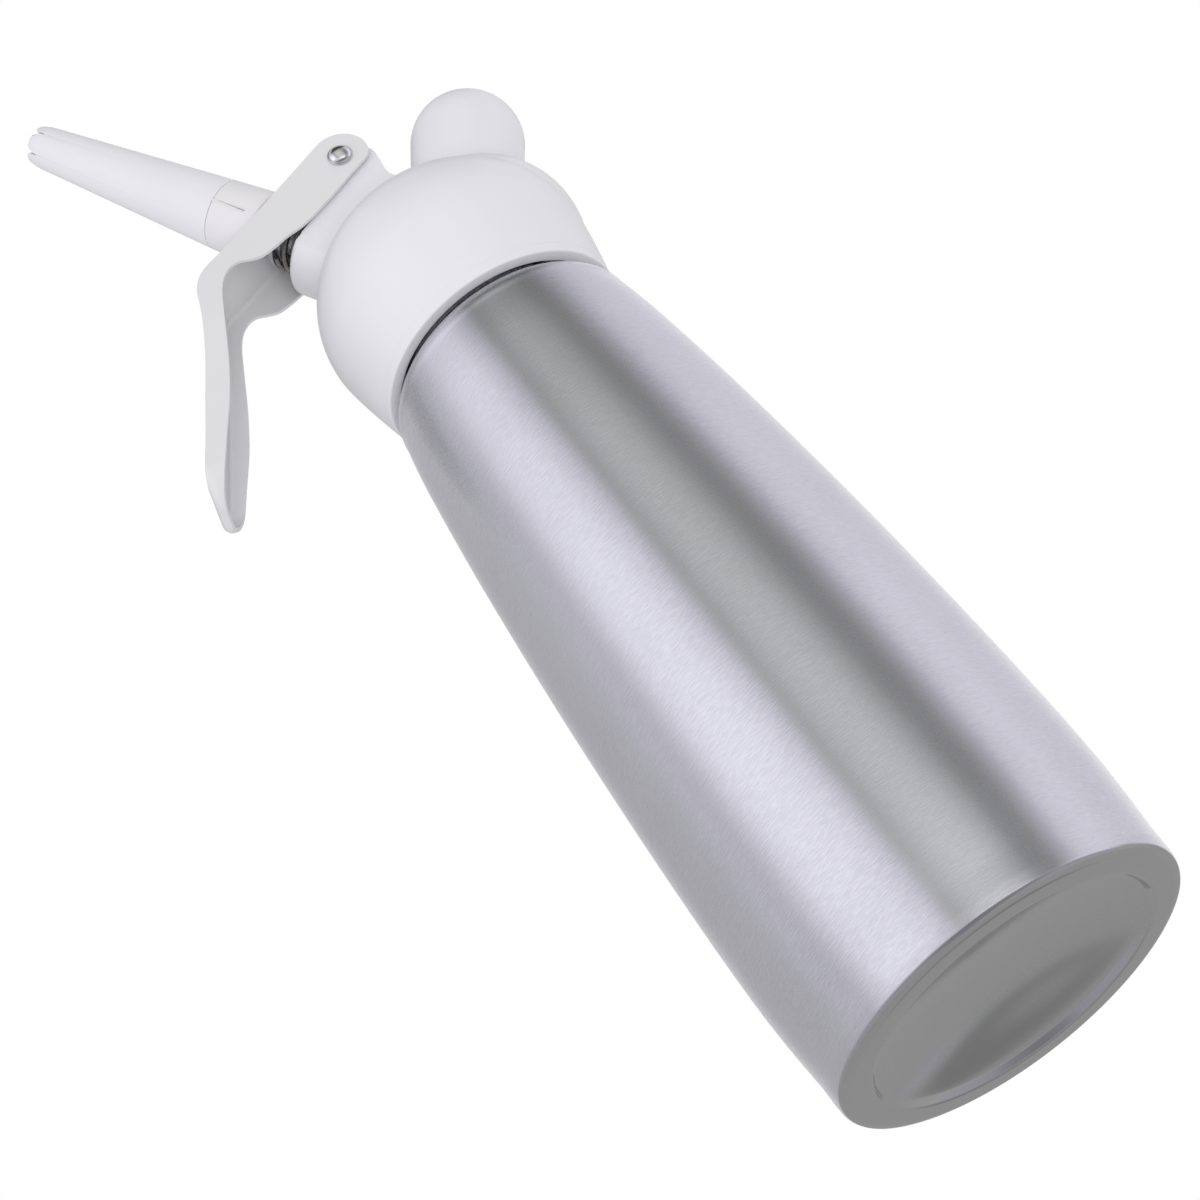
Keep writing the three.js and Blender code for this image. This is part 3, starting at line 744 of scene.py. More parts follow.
@dataclass(frozen=True)
class Moulded(Finish):
    """Plastic, coating or rubber: a cloudy tint, painted shade where the surface turns away, and a fine skin.

    Attributes:
        skin: the skin's grains in a metre.
        specular: the specular level.
        limb_shade: how far the tint darkens where the surface turns away, as painted shade.
        limb_shade_window: the facing weights where the painted shade starts and ends.
    """

    skin: float
    specular: float = 0.35
    limb_shade: float = 0.84
    limb_shade_window: Point = (0.7, 0.98)

    def fill(self, nodes: Nodes) -> dict[str, object]:
        """The shader's inputs.

        Args:
            nodes: the material's nodes.

        Returns:
            The inputs by name.
        """
        skin = nodes.noise((self.skin,) * 3)
        clouds = nodes.ranged(nodes.noise((38, 38, 38)), 0, 1)
        # painted shade: the tint darkens towards the outline, where the surface turns away from view
        facing = nodes.ranged(nodes.add("LayerWeight").outputs["Facing"], 0, 1, self.limb_shade_window)
        plain_tint = nodes.mixed(clouds, self.dark, self.light)
        return {
            "base_color": nodes.mixed(facing, plain_tint, toned(self.limb_shade, self.dark)),
            "roughness": nodes.ranged(skin, self.smooth, self.rough),
            "normal": nodes.bump(skin, 0.25, self.depth),
            "specular_ior_level": self.specular,
        }


@dataclass(frozen=True)
class Polished(Finish):
    """Bright metal with a faint drawn or buffed grain.

    Attributes:
        grain: the grain's repeats in a metre.
    """

    grain: float

    def fill(self, nodes: Nodes) -> dict[str, object]:
        """The shader's inputs.

        Args:
            nodes: the material's nodes.

        Returns:
            The inputs by name.
        """
        grain = nodes.noise((self.grain,) * 3, detail=3, rough=0.6)
        smears = nodes.ranged(nodes.noise((240, 240, 240), detail=1), 0, 1)
        return {
            "base_color": nodes.mixed(smears, self.dark, self.light),
            "roughness": nodes.ranged(grain, self.smooth, self.rough),
            "normal": nodes.bump(grain, 0.3, self.depth),
            "metallic": 1,
        }


BRUSHED = Brushed(
    "brushed_bottle", Slot.BRUSHED, (0.69, 0.69, 0.725), (0.61, 0.61, 0.64),
    0.24, 0.33, 0.000014, 0.8, (460, 3200))
SPUN = Brushed(
    "spun_base", Slot.BRUSHED, (0.67, 0.67, 0.68), (0.60, 0.60, 0.61),
    0.09, 0.15, 0.000003, 0.0, (1500, 1500))
TURNED = Brushed(
    "turned_insert", Slot.TURNED, (0.70, 0.70, 0.72), (0.58, 0.58, 0.60),
    0.24, 0.34, 0.00001, 0.4, (120, 3200))
PLASTIC = Moulded(
    "white_plastic", Slot.PLASTIC, (0.785, 0.78, 0.815), (0.765, 0.76, 0.79), 0.32, 0.4, 0.00001, 900)
WARM_PLASTIC = Moulded(
    "adapter_plastic", Slot.PLASTIC, (0.785, 0.772, 0.785), (0.765, 0.752, 0.765), 0.34, 0.42, 0.00001, 900)
COATING = Moulded(
    "lever_coating", Slot.COATING, (0.735, 0.735, 0.745), (0.715, 0.715, 0.722), 0.36, 0.44, 0.000012, 1300)
STEEL = Polished("rivet_steel", Slot.STEEL, (0.84, 0.84, 0.85), (0.62, 0.62, 0.63), 0.05, 0.1, 0.000004, 1500)
WIRE = Polished("spring_wire", Slot.WIRE, (0.42, 0.40, 0.37), (0.26, 0.25, 0.23), 0.22, 0.36, 0.00001, 1800)
RUBBER = Moulded("silicone", Slot.RUBBER, (0.70, 0.71, 0.69), (0.64, 0.65, 0.63), 0.55, 0.68, 0.00002, 1100)


@cache
def material(finish: Finish) -> bpy.types.Material:
    """The material of a finish, built at its first use.

    Args:
        finish: the finish.

    Returns:
        The material.
    """
    made = bpy.data.materials.new(finish.name)
    nodes = Nodes(made)
    nodes.fill(nodes.tree.nodes["Principled BSDF"], **finish.fill(nodes))
    return made


def dress(piece: Piece, finish: Finish) -> None:
    """Gives a piece a finish.

    Args:
        piece: the object.
        finish: the finish that it gets.
    """
    if len(piece.data.materials) == 0:
        piece.data.materials.append(material(finish))
    for entry in piece.material_slots:
        entry.material = material(finish)


def complete(
        piece: Piece, axis: Axis, finish: Finish, body: Body, node: str,
        flat_faces: bool = False) -> None:
    """Shades a piece, brings it to its place, dresses it, hangs it on its body and hides the CAD node that it
    replaces.

    Args:
        piece: the object, in millimetres along Z.
        axis: the axis that it belongs on.
        finish: its finish.
        body: the body that it rides on.
        node: the CAD node that it replaces.
        flat_faces: whether large flat faces keep a flat look beside rounded edges.
    """
    activate(piece)
    bpy.ops.object.shade_smooth_by_angle(angle=SMOOTH_ANGLE)
    if flat_faces:
        apply_modifier(piece, "WEIGHTED_NORMAL", keep_sharp=True)
    axis.place(piece)
    dress(piece, finish)
    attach(piece, body.value)
    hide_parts(node)
    log.info("%s: %d faces on %s", piece.name, len(piece.data.polygons), body.value)


@dataclass
class Bottle:
    """The drawn aluminium bottle, in millimetres from its foot up."""

    widest: float = 41
    wall: float = 1.8
    body_height: float = 184
    shoulder_height: float = 6
    heel_height: float = 8
    heel_share: float = 0.976
    heel_corners: tuple[Corner, ...] = ((38.2, 0.05, 5), (39.75, 0.8, 1.3), (39.98, 3.6, 8))
    foot_radius: float = 34.6
    foot_width: float = 2
    foot_round: float = 3
    foot_spread: float = 20
    recess_depth: float = 5
    dish_radius: float = 31.6
    dish_rise: float = 3.6
    step_round: float = 0.7
    spun_height: float = 1.2
    neck_radius: float = 24
    neck_wall: float = 3
    mouth_rounds: Point = (0.5, 0.8)
    height_shares: tuple[float, ...] = (0.152, 0.326, 0.543, 0.761, 0.924, 1)
    radius_shares: tuple[float, ...] = (1, 0.985, 0.939, 0.868, 0.793, 0.741)
    thread_pitch: float = 3
    thread_depth: float = 0.22

    def side(self, inset: float) -> list[Point]:
        """The swelling side, from the heel to the shoulder.

        Args:
            inset: how far inside the outer face it runs.

        Returns:
            The side's points.
        """
        shares = zip(self.radius_shares, self.height_shares)
        heel = (self.widest * self.heel_share - inset, self.heel_height)
        return smooth_through(
            [heel, *[(self.widest * r - inset, self.body_height * h) for r, h in shares]], 12)

    def base(self) -> list[Point]:
        """The recess with its dish, the foot and the heel, from the axis out.

        Returns:
            The base's points.
        """
        curve = (self.dish_radius ** 2 + self.dish_rise ** 2) / (2 * self.dish_rise)
        spread = math.degrees(math.asin(self.dish_radius / curve))
        dish = arc((0, self.recess_depth - curve), (curve, curve), 90, 90 - spread, 28)
        foot_inner = self.foot_radius - self.foot_width
        step = rounded([(*dish[-2], 0), (*dish[-1], self.step_round), (foot_inner, 0.2, 0)])[1:-1]
        crest = (foot_inner + self.foot_width / 2, self.foot_round)
        bead = arc(crest, (self.foot_round,) * 2, -90 - self.foot_spread, -90, 8)
        heel_end = (self.widest * self.heel_share, self.heel_height, 0)
        heel = rounded([(self.foot_radius, 0, 0), *self.heel_corners, heel_end], 10)[:-1]
        return [*dish[:-2], *step, *bead, *heel]

    def build(self) -> None:
        """Models the bottle in one wall, inside and out."""
        high = BOTTLE_HIGH.z / MM
        shoulder_run = self.widest * self.radius_shares[-1] - self.neck_radius
        shoulder_high = self.body_height + self.shoulder_height
        floor = self.recess_depth + self.wall
        mouth = self.neck_radius - self.neck_wall
        outer_round, inner_round = self.mouth_rounds
        shoulder = arc((self.neck_radius, self.body_height), (shoulder_run, self.shoulder_height), 6, 90, 12)
        neck = ridges(
            self.neck_radius, self.thread_depth, self.thread_pitch, (shoulder_high + 1, high - 1), 36, 4)
        lip = rounded([
            (self.neck_radius, high - 1, 0), (self.neck_radius, high, outer_round),
            (mouth, high, inner_round), (mouth, shoulder_high - self.wall, 0),
        ])
        inside = [*reversed(self.side(self.wall)), (self.foot_radius - 1, floor), (0, floor)]
        profile = [*self.base(), *self.side(0), *shoulder, *neck, *lip[1:], *inside]
        bottle = turned("bottle_body", profile, BOTTLE_STEPS)
        complete(bottle, UPRIGHT, BRUSHED, Body.BOTTLE, "bottle")
        bottle.data.materials.append(material(SPUN))
        for face in bottle.data.polygons:
            spot = (face.center - UPRIGHT.origin) / MM
            inside_ring = spot.xy.length < self.foot_radius and spot.z < self.recess_depth + NEAR
            face.material_index = int(inside_ring or spot.z < self.spun_height)


@dataclass
class HeadCover:
    """The white plastic cover: dome, skirt, valve boss with the lever's lug, and charger socket."""

    lip_radius: float = 29.9
    lip_height: float = 2.4
    lip_inset: float = 0.25
    lip_edge: float = 0.45
    lip_round: float = 0.3
    lip_inner: Point = (26.9, 1.5)
    flare_height: float = 21
    flare_power: float = 1.3
    flare_steps: int = 16
    dome_radius: float = 32.9
    dome_height: float = 28.5
    dome_power: float = 2.08
    dome_wall: float = 2.8
    dome_steps: int = 48
    skirt_inner: float = 27.2
    ledge: float = 1.2
    ledge_level: float = 205.1
    fairing_radius: float = 24
    fairing_back: float = 10.4
    fairing_rise: float = 6.1
    boss_radius: float = 11
    boss_half: float = 9
    boss_face: float = 41
    boss_start: float = 17
    boss_round: float = 0.9
    recess_radius: float = 7.85
    recess_floor: float = 35.3
    body_radius: float = 8.3
    body_end: float = 31.3
    bush_room: float = 5.9
    pin_room: float = 3.15
    lug_radius: float = 6.6
    lug_back: tuple[Point, ...] = (
        (-23.9, 36.4), (-22.5, 34.4), (-21.4, 32.6), (-20.9, 30.7), (-21.3, 28.4), (-22.6, 26), (-25, 23.6),
        (-28, 21),
    )
    lug_corner: Corner = (-25.3, 38.3, 1.3)
    socket_inner: float = 11.9
    socket_outer: float = 13.5
    socket_seat: float = 33
    socket_low: float = 19
    holder_room: float = 14.1
    holder_end: float = 48
    voxel: float = 0.45
    edge_passes: int = 3
    boss_seam: tuple[float, int] = (1.2, 7)
    lug_seam: tuple[float, int] = (2.2, 30)
    lug_side: float = -9.5

    @property
    def lip_low(self) -> float:
        """The level of the lip's underside."""
        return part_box("head_shell")[0].z / MM

    @property
    def dome_level(self) -> float:
        """The level where the skirt turns into the dome."""
        return self.lip_low + self.flare_height

    def dome_arc(self, inset: float) -> list[Point]:
        """The dome's quarter curve.

        Args:
            inset: how far inside the outer face it runs.

        Returns:
            Points from the dome's side up to its top.
        """
        power = 2 / self.dome_power
        points = []
        for i in range(self.dome_steps):
            angle = math.pi / 2 * i / self.dome_steps
            across = (self.dome_radius - inset) * math.cos(angle) ** power
            points.append((across, self.dome_level + (self.dome_height - inset) * math.sin(angle) ** power))
        return [*points, (0, self.dome_level + self.dome_height - inset)]

    def dome(self) -> Piece:
        """The dome and skirt, filled.

        Returns:
            The solid.
        """
        low = self.lip_low + self.lip_height
        foot = self.lip_low - OVERRUN
        flare = []
        for i in range(1, self.flare_steps):
            share = i / self.flare_steps
            spread = (self.dome_radius - self.lip_radius) * (1 - share) ** self.flare_power
            flare.append((self.dome_radius - spread, low + (self.dome_level - low) * share))
        hem = [(0, foot), (self.lip_radius, foot), (self.lip_radius, low)]
        return turned("head_cover", [*hem, *flare, *self.dome_arc(0)], COVER_STEPS)

    def hem_cut(self) -> Piece:
        """The solid that the cover is cropped to, with the lip's crisp hem.

        Returns:
            The solid.
        """
        low = self.lip_low
        edge = low + self.lip_height
        wide = self.dome_radius * 2
        return turned("hem_cut", rounded([
            (0, low, 0), (self.lip_radius - self.lip_inset, low, self.lip_edge), (self.lip_radius, edge, 0),
            (wide, edge, 0), (wide, low + wide * 2, 0), (0, low + wide * 2, 0),
        ]), COVER_STEPS)

    def fairing(self) -> Piece:
        """The rounded bulge at the dome's back."""
        ball = turned("fairing", arc((0, 0), (self.fairing_radius,) * 2, -90, 90, 48))
        return moved(ball, (-self.fairing_back, 0, self.dome_level + self.fairing_rise))

    def lug_outline(self) -> list[Point]:
        """The side view of the lever's lug, in the valve's frame.

        Returns:
            The outline's points.
        """
        x, z = PIVOT
        corner = rounded([(x - self.lug_radius, z - 1, 0), self.lug_corner, (*self.lug_back[0], 0)])
        return [
            (x + self.lug_radius, z),
            *arc(PIVOT, (self.lug_radius,) * 2, 10, 190, 24),
            *corner[1:-1],
            *smooth_through(self.lug_back, 5),
            (0, self.lug_back[-1][1]),
            (0, self.boss_face),
            (x + self.lug_radius, self.boss_face),
        ]

    def boss(self) -> Piece:
        """The valve's barrel with flat sides, and the lug.

        Returns:
            The solid, along Z.
        """
        barrel = turned("boss", rounded([
            (0, self.boss_start, 0), (self.boss_radius, self.boss_start, 0),
            (self.boss_radius, self.boss_face, self.boss_round), (0, self.boss_face, 0),
        ]))
        reach = self.boss_radius + OVERRUN
        high = self.boss_face + OVERRUN
        flats = slab("flats", [(-reach, 0), (reach, 0), (reach, high), (-reach, high)], self.boss_half)
        combine(barrel, Cut.KEEP, flats)
        return combine(barrel, Cut.JOIN, slab("lug", self.lug_outline(), self.boss_half))

    def soften(self, piece: Piece, solids: Sequence[Piece], seam: tuple[float, int], lug: bool) -> None:
        """Smooths the seam where two solids meet.

        Args:
            piece: the joined and remeshed solid.
            solids: the two solids, before the join.
            seam: how far from the seam the smoothing fades, and its number of passes.
            lug: whether the lug's back is smoothed, or else the rest of the seam.
        """
        reach, passes = seam
        graph = bpy.context.evaluated_depsgraph_get()
        trees = [BVHTree.FromObject(solid, graph) for solid in solids]
        tilt = VALVE_AXIS.tilt
        group = piece.vertex_groups.new(name="seam")
        for vertex in piece.data.vertices:
            x, _, z = vertex.co
            if (x * math.cos(tilt) - (z - CROSSING) * math.sin(tilt) < self.lug_side) != lug:
                continue
            gap = max(tree.find_nearest(vertex.co)[3] for tree in trees)
            if gap < reach * 2:
                group.add([vertex.index], min(1.0, 2 - gap / reach), "REPLACE")
        apply_modifier(piece, "SMOOTH", factor=0.5, iterations=passes, vertex_group=group.name)
        piece.vertex_groups.clear()

    def soft_body(self) -> Piece:
        """The outside as one skin, with soft seams and eased edges.

        Returns:
            The filled solid.
        """
        body = combine(self.dome(), Cut.JOIN, self.fairing())
        whole = copied(body, "dome_alone")
        boss = VALVE_AXIS.tilted(self.boss())
        lug = copied(boss, "boss_alone")
        combine(body, Cut.JOIN, boss)
        apply_modifier(body, "REMESH", mode="VOXEL", voxel_size=self.voxel)
        apply_modifier(body, "SMOOTH", factor=0.5, iterations=self.edge_passes)
        self.soften(body, (whole, lug), self.boss_seam, lug=False)
        self.soften(body, (whole, lug), self.lug_seam, lug=True)
        for helper in (whole, lug):
            bpy.data.objects.remove(helper)
        return body

    def cavity(self) -> Piece:
        """The room inside the skirt and the dome.

        Returns:
            The cutter.
        """
        inner = self.skirt_inner - self.ledge
        roof = [(r, z) for r, z in self.dome_arc(self.dome_wall) if r < inner]
        corner = inner / (self.dome_radius - self.dome_wall)
        rise = (1 - corner ** self.dome_power) ** (1 / self.dome_power)
        side = self.dome_level + (self.dome_height - self.dome_wall) * rise
        mouth, hem = self.lip_inner
        below = self.lip_low - OVERRUN
        swing = self.lip_round + OVERRUN
        return turned("cavity", [
            (0, below),
            (mouth + swing, below),
            *arc((mouth + swing, self.lip_low + self.lip_round), (swing, swing), 252, 180, 6),
            (mouth, self.lip_low + hem),
            (self.skirt_inner, self.lip_low + hem),
            (self.skirt_inner, self.ledge_level),
            (inner, self.ledge_level),
            (inner, side),
            *roof,
        ])

    def build(self) -> None:
        """Models the cover."""
        cover = self.soft_body()
        combine(cover, Cut.KEEP, self.hem_cut())
        combine(cover, Cut.REMOVE, self.cavity())
        combine(cover, Cut.JOIN, HOLDER_AXIS.tilted(turned("socket", [
            (self.socket_inner, self.socket_low), (self.socket_outer, self.socket_low),
            (self.socket_outer, self.socket_seat), (self.socket_inner, self.socket_seat),
        ])))
        cutters = (
            (VALVE_AXIS, rod(self.body_radius, 0, self.body_end)),
            (VALVE_AXIS, rod(self.bush_room, 0, self.recess_floor + OVERRUN)),
            (VALVE_AXIS, rod(self.recess_radius, self.recess_floor, self.boss_face + OVERRUN)),
            (VALVE_AXIS, cross_rod(self.pin_room, self.boss_half + OVERRUN, *PIVOT)),
            (HOLDER_AXIS, rod(self.socket_inner, 0, self.socket_seat + OVERRUN)),
            (HOLDER_AXIS, rod(self.holder_room, self.socket_seat, self.holder_end)),
        )
        for axis, cutter in cutters:
            combine(cover, Cut.REMOVE, axis.tilted(cutter))
        complete(cover, UPRIGHT, PLASTIC, Body.HEAD, "head_shell")


@dataclass
class Lever:
    """The stamped and coated lever with its rivet, in the valve's frame."""

    sheet: float = 1.2
    ear_radius: float = 6.8
    arm_slope: float = 4.7
    arm_length: float = 44.2
    bend_radius: float = 16
    handle_slope: float = 35
    handle_length: float = 62.1
    overlength: float = 4
    nose_radius: float = 8
    nose_start: float = 58
    nose_tilt: float = 20
    nose_round: float = 2.3
    web_start: float = 10.5
    flange_depth: float = 13.2
    outer_half: float = 10.5
    flange_sheet: float = 0.85
    ear_end: float = 230
    arm_edge: tuple[Point, ...] = (
        (-21.9, 38.3), (-15.8, 38.85), (-8, 39.4), (0.8, 40.6), (6, 42.4), (9.6, 43.3), (13.3, 44.6),
        (15.4, 46.6), (17, 48.6), (19.2, 49.5), (22.3, 49.1), (25.9, 47.2),
    )
    handle_edge: tuple[Point, ...] = (
        (11, 4.95), (25, 5.6), (36, 5.5), (46, 4.6), (54, 3.9), (60, 2.9), (66.2, 1.2))
    pin_room: float = 2.1
    stem_room: float = 4.05
    press_angle: float = 11
    press_room: float = 0.3
    fold_round: float = 0.8
    bend_fold_round: float = 2.3
    inner_fold_round: float = 1.5
    edge_round: float = 0.17
    lip_round: float = 0.6
    swells: tuple[Corner, ...] = ((1.25, 2, 7), (-0.4, 24, 10), (0.5, 57, 9))

    @property
    def inner_half(self) -> float:
        """Half of the width between the flanges."""
        return self.outer_half - self.flange_sheet

    def outward(self, station: float) -> float:
        """How far the handle's web swells outwards at a station."""
        return sum(
            height * math.exp(-((station - middle) / width) ** 2)
            for height, middle, width in self.swells)

    def web_point(self, station: float, depth: float) -> Point:
        """A point at a depth under the web's outer face.

        Args:
            station: the way from the corner of arm and handle, negative along the arm.
            depth: the depth under the face.

        Returns:
            The point in the valve's frame.
        """
        arm = math.radians(self.arm_slope)
        slope = arm if station < 0 else -math.radians(self.handle_slope)
        x = PIVOT[0] - self.ear_radius * math.sin(arm) + self.arm_length * math.cos(arm)
        z = PIVOT[1] + self.ear_radius * math.cos(arm) + self.arm_length * math.sin(arm)
        return (
            x + station * math.cos(slope) + depth * math.sin(slope),
            z + station * math.sin(slope) - depth * math.cos(slope),
        )

    @property
    def bend_half(self) -> float:
        """Half of the angle that the web turns in its bend, in radians."""
        return math.radians(self.arm_slope + self.handle_slope) / 2

    @property
    def bend_reach(self) -> float:
        """The stretch from the corner to where the bend runs out."""
        return self.bend_radius * math.tan(self.bend_half)

    def bend(self, depth: float) -> list[Point]:
        """The rounded bend between arm and handle.

        Args:
            depth: the depth under the web's outer face.

        Returns:
            Points from the arm to the handle.
        """
        centre = self.web_point(-self.bend_reach, self.bend_radius)
        first = math.radians(90 + self.arm_slope)
        points = []
        for share in (i / 24 for i in range(25)):
            angle = first - 2 * self.bend_half * share
            radius = self.bend_radius - depth + self.outward(self.bend_reach * (2 * share - 1))
            points.append((centre[0] + radius * math.cos(angle), centre[1] + radius * math.sin(angle)))
        return points

    def web_line(self) -> list[Point]:
        """The web's outer face in side view, from the ear to the nose."""
        arm = [self.web_point(-self.arm_length * share, 0) for share in (1, 0.8, 0.6, 0.4, 0.25)]
        return [*arm, *self.bend(0), *self.handle_line(0, self.handle_length + self.overlength)]

    def handle_line(self, depth: float, end: float) -> list[Point]:
        """The handle's web in side view, with its swells.

        Args:
            depth: the depth under the outer face.
            end: the last station.

        Returns:
            The line's points.
        """
        first = self.bend_reach + 1
        stations = [first + (end - first) * i / 36 for i in range(37)]
        return [self.web_point(station, depth - self.outward(station)) for station in stations]

    def flange_edge(self) -> list[Point]:
        """The flanges' free edge, from the ear to the nose."""
        handle = [self.web_point(station, depth) for station, depth in self.handle_edge]
        return smooth_through([self.ear()[0], *self.arm_edge, *handle], 6)

    def ear(self) -> list[Point]:
        """The ear's round end in side view, from the flange's free edge to the web."""
        return arc(PIVOT, (self.ear_radius,) * 2, self.ear_end, 90 + self.arm_slope, 36)

    def outline(self) -> list[Point]:
        """The lever's side view."""
        return [*self.ear()[:-1], *self.web_line(), *reversed(self.flange_edge()[1:])]

    def channel(self) -> list[Point]:
        """The side view of what is cut out between the flanges.

        Returns:
            The outline's points.
        """
        reach = self.handle_length + self.overlength + OVERRUN
        far = self.flange_depth * 2
        back = -self.arm_length - self.ear_radius * 2
        web = -self.arm_length + self.web_start
        start = [self.web_point(*spot) for spot in ((back, -OVERRUN), (web, -OVERRUN), (web, self.sheet))]
        end = [self.web_point(reach, far), self.web_point(back, far)]
        return [*start, *self.bend(self.sheet), *self.handle_line(self.sheet, reach), *end]

    def nose_block(self, side: float, top: float) -> Piece:
        """A block that ends in the handle's nose, with its round plan and its inclined and rounded face.

        Args:
            side: how far inside the outer plan it runs.
            top: how far it runs under the web's outer face.

        Returns:
            The block, in the lever's place.
        """
        half = self.outer_half - side + NEAR
        tip = (self.handle_length - self.nose_start) / math.cos(math.radians(self.nose_tilt)) - side
        radius = self.nose_radius - side
        back = -self.arm_length * 3
        outline = [
            (back, -half),
            *arc((tip - radius, radius - half), (radius, radius), -90, 0, 16),
            *arc((tip - radius, half - radius), (radius, radius), 0, 90, 16),
            (back, half),
        ]
        depth = self.arm_length * 2
        block = moved(slab("nose_block", outline, depth), turns=(90, 0, 0))
        bevel_edges(block, self.nose_round - top, angle=60, segments=6)
        moved(block, (0, 0, -depth - top))
        x, z = self.web_point(self.nose_start, -self.outward(self.nose_start))
        return moved(block, (x, 0, z), (0, self.handle_slope + self.nose_tilt, 0))

    def slot(self) -> Piece:
        """The web's slot for the stem, which swings with the lever.

        Returns:
            The cutter.
        """
        drift = (self.ear_radius + self.sheet) * math.radians(self.press_angle) + self.press_room
        radii = (self.stem_room,) * 2
        outline = [*arc((0, 0), radii, -90, 90, 20), *arc((-drift, 0), radii, 90, 270, 20)]
        cutter = moved(slab("slot", outline, self.flange_depth / 2), turns=(90, 0, 0))
        return moved(cutter, (0, 0, PIVOT[1] + self.ear_radius))

    def round_folds(self, lever: Piece) -> None:
        """Rounds the folds between web and flanges, the most at the bend and the least by the ears.

        Args:
            lever: the lever's outer solid.
        """
        line = [Vector(spot) for spot in self.web_line()]
        corner = Vector(self.web_point(0, 0))
        least = self.fold_round / self.bend_fold_round

        def weight(*ends: Vector) -> float:
            """The share of an edge.

            Args:
                ends: its two ends.

            Returns:
                The share.
            """
            middle = (ends[0].xz + ends[1].xz) / 2
            share = least + (1 - least) * math.exp(-((middle - corner).length / self.bend_radius) ** 2)
            run_in = min(max((middle - line[0]).length / self.ear_radius, 0.15), 1)
            return share * run_in * on_line(ends, line, NEAR)

        bevel_weighted(lever, self.bend_fold_round, 6, weight)

    def round_edges(self, lever: Piece) -> None:
        """Rounds all sharp edges, the flanges' free inner edges the most.

        Args:
            lever: the lever, cut out.
        """
        line = [Vector(spot) for spot in (*reversed(self.ear()), *self.flange_edge()[1:])]

        def weight(*ends: Vector) -> float:
            """The share of an edge.

            Args:
                ends: its two ends.

            Returns:
                The share.
            """
            inner = all(abs(abs(spot.y) - self.inner_half) < NEAR for spot in ends)
            return 1 if inner and on_line(ends, line, 2 * NEAR) else self.edge_round / self.lip_round

        bevel_weighted(lever, self.lip_round, 4, weight)

    def build(self) -> None:
        """Models the lever and its rivet."""
        lever = slab("hand_lever", self.outline(), self.outer_half)
        self.round_folds(lever)
        combine(lever, Cut.KEEP, self.nose_block(0, 0))
        inner = slab("channel", self.channel(), self.inner_half)
        bevel_edges(inner, self.inner_fold_round, segments=5)
        combine(inner, Cut.KEEP, self.nose_block(self.flange_sheet, self.sheet))
        pin_hole = cross_rod(self.pin_room, self.outer_half + OVERRUN, *PIVOT)
        combine(lever, Cut.REMOVE, inner, self.slot(), pin_hole)
        with editing(lever):
            bpy.ops.mesh.dissolve_limited(angle_limit=FLAT_ANGLE)
        self.round_edges(lever)
        complete(lever, VALVE_AXIS, COATING, Body.LEVER, "lever", flat_faces=True)
        self.build_rivet()

    def build_rivet(self) -> None:
        """Models the rivet, with a shallow dome and a thin rim on the +Y side."""
        near = self.outer_half + 0.12
        pin = self.pin_room - 0.15
        profile = [
            *rounded([
                (0, -near - 0.9, 0), (2.5, -near - 0.9, 0.4), (2.8, -near - 0.3, 0.3), (2.8, -near, 0.1),
                (pin, -near, 0), (pin, near, 0), (3.0, near, 0.05), (3.0, near + 0.22, 0.08),
                (2.78, near + 0.22, 0.04), (2.74, near + 0.12, 0), (2.7, near + 0.14, 0),
            ], 4),
            *arc((0, near + 0.14), (2.68, 1.3), 5, 90, 18),
        ]
        rivet = moved(turned("lever_rivet_head", profile, 96), turns=(-90, 0, 0))
        moved(rivet, (PIVOT[0], 0, PIVOT[1]))
        complete(rivet, VALVE_AXIS, STEEL, Body.LEVER, "lever_rivet")


@dataclass
class Spring:
    """The valve's return spring, on the valve's axis."""

    mean_radius: float = 6.75
    wire: float = 1.3
    turns: int = 4
    low: float = 37.1
    high: float = 47.695
    kept: float = 0.65

    def build(self) -> None:
        """Models the spring."""
        half = self.wire / 2
        rise = self.high - self.low - self.wire
        activate(None)
        bpy.ops.mesh.primitive_circle_add(
            vertices=20, radius=half, location=(self.mean_radius, 0, self.low + half),
            rotation=(math.pi / 2, 0, 0),
        )
        spring = bpy.context.object
        spring.name = "valve_spring"
        apply_place(spring)
        apply_modifier(spring, "SCREW", angle=math.tau, screw_offset=rise / self.turns,
                       iterations=self.turns, steps=48, render_steps=48, use_smooth_shade=True)
        for level, reach in ((self.low + half, -self.wire), (self.high - half, self.wire)):
            self.run_out(spring, level, reach)
        with editing(spring):
            tidy_faces()
        complete(spring, VALVE_AXIS, WIRE, Body.HEAD, "return_spring")
        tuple(VALVE_AXIS.direction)
        VALVE_AXIS.point(0, self.low)
        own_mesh(spring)

    def run_out(self, spring: Piece, level: float, reach: float) -> None:
        """Draws one end of the wire out straight and closes it.

        Args:
            spring: the coil.
            level: the height of the end's centre.
            reach: how far it runs along Y.
        """
        with editing(spring) as mesh:
            bpy.ops.mesh.select_mode(type="EDGE")
            bpy.ops.mesh.select_all(action="DESELECT")
            for edge in mesh.edges:
                middle = (edge.verts[0].co + edge.verts[1].co) / 2
                near = abs(middle.z - level) < self.wire and abs(middle.y) < MERGE
                edge.select_set(edge.is_boundary and near and middle.x > 0)
            bmesh.update_edit_mesh(spring.data)
            bpy.ops.mesh.extrude_region_move(TRANSFORM_OT_translate={"value": (0, reach, 0)})
            bpy.ops.mesh.edge_face_add()
            bpy.ops.mesh.select_mode(type="VERT")


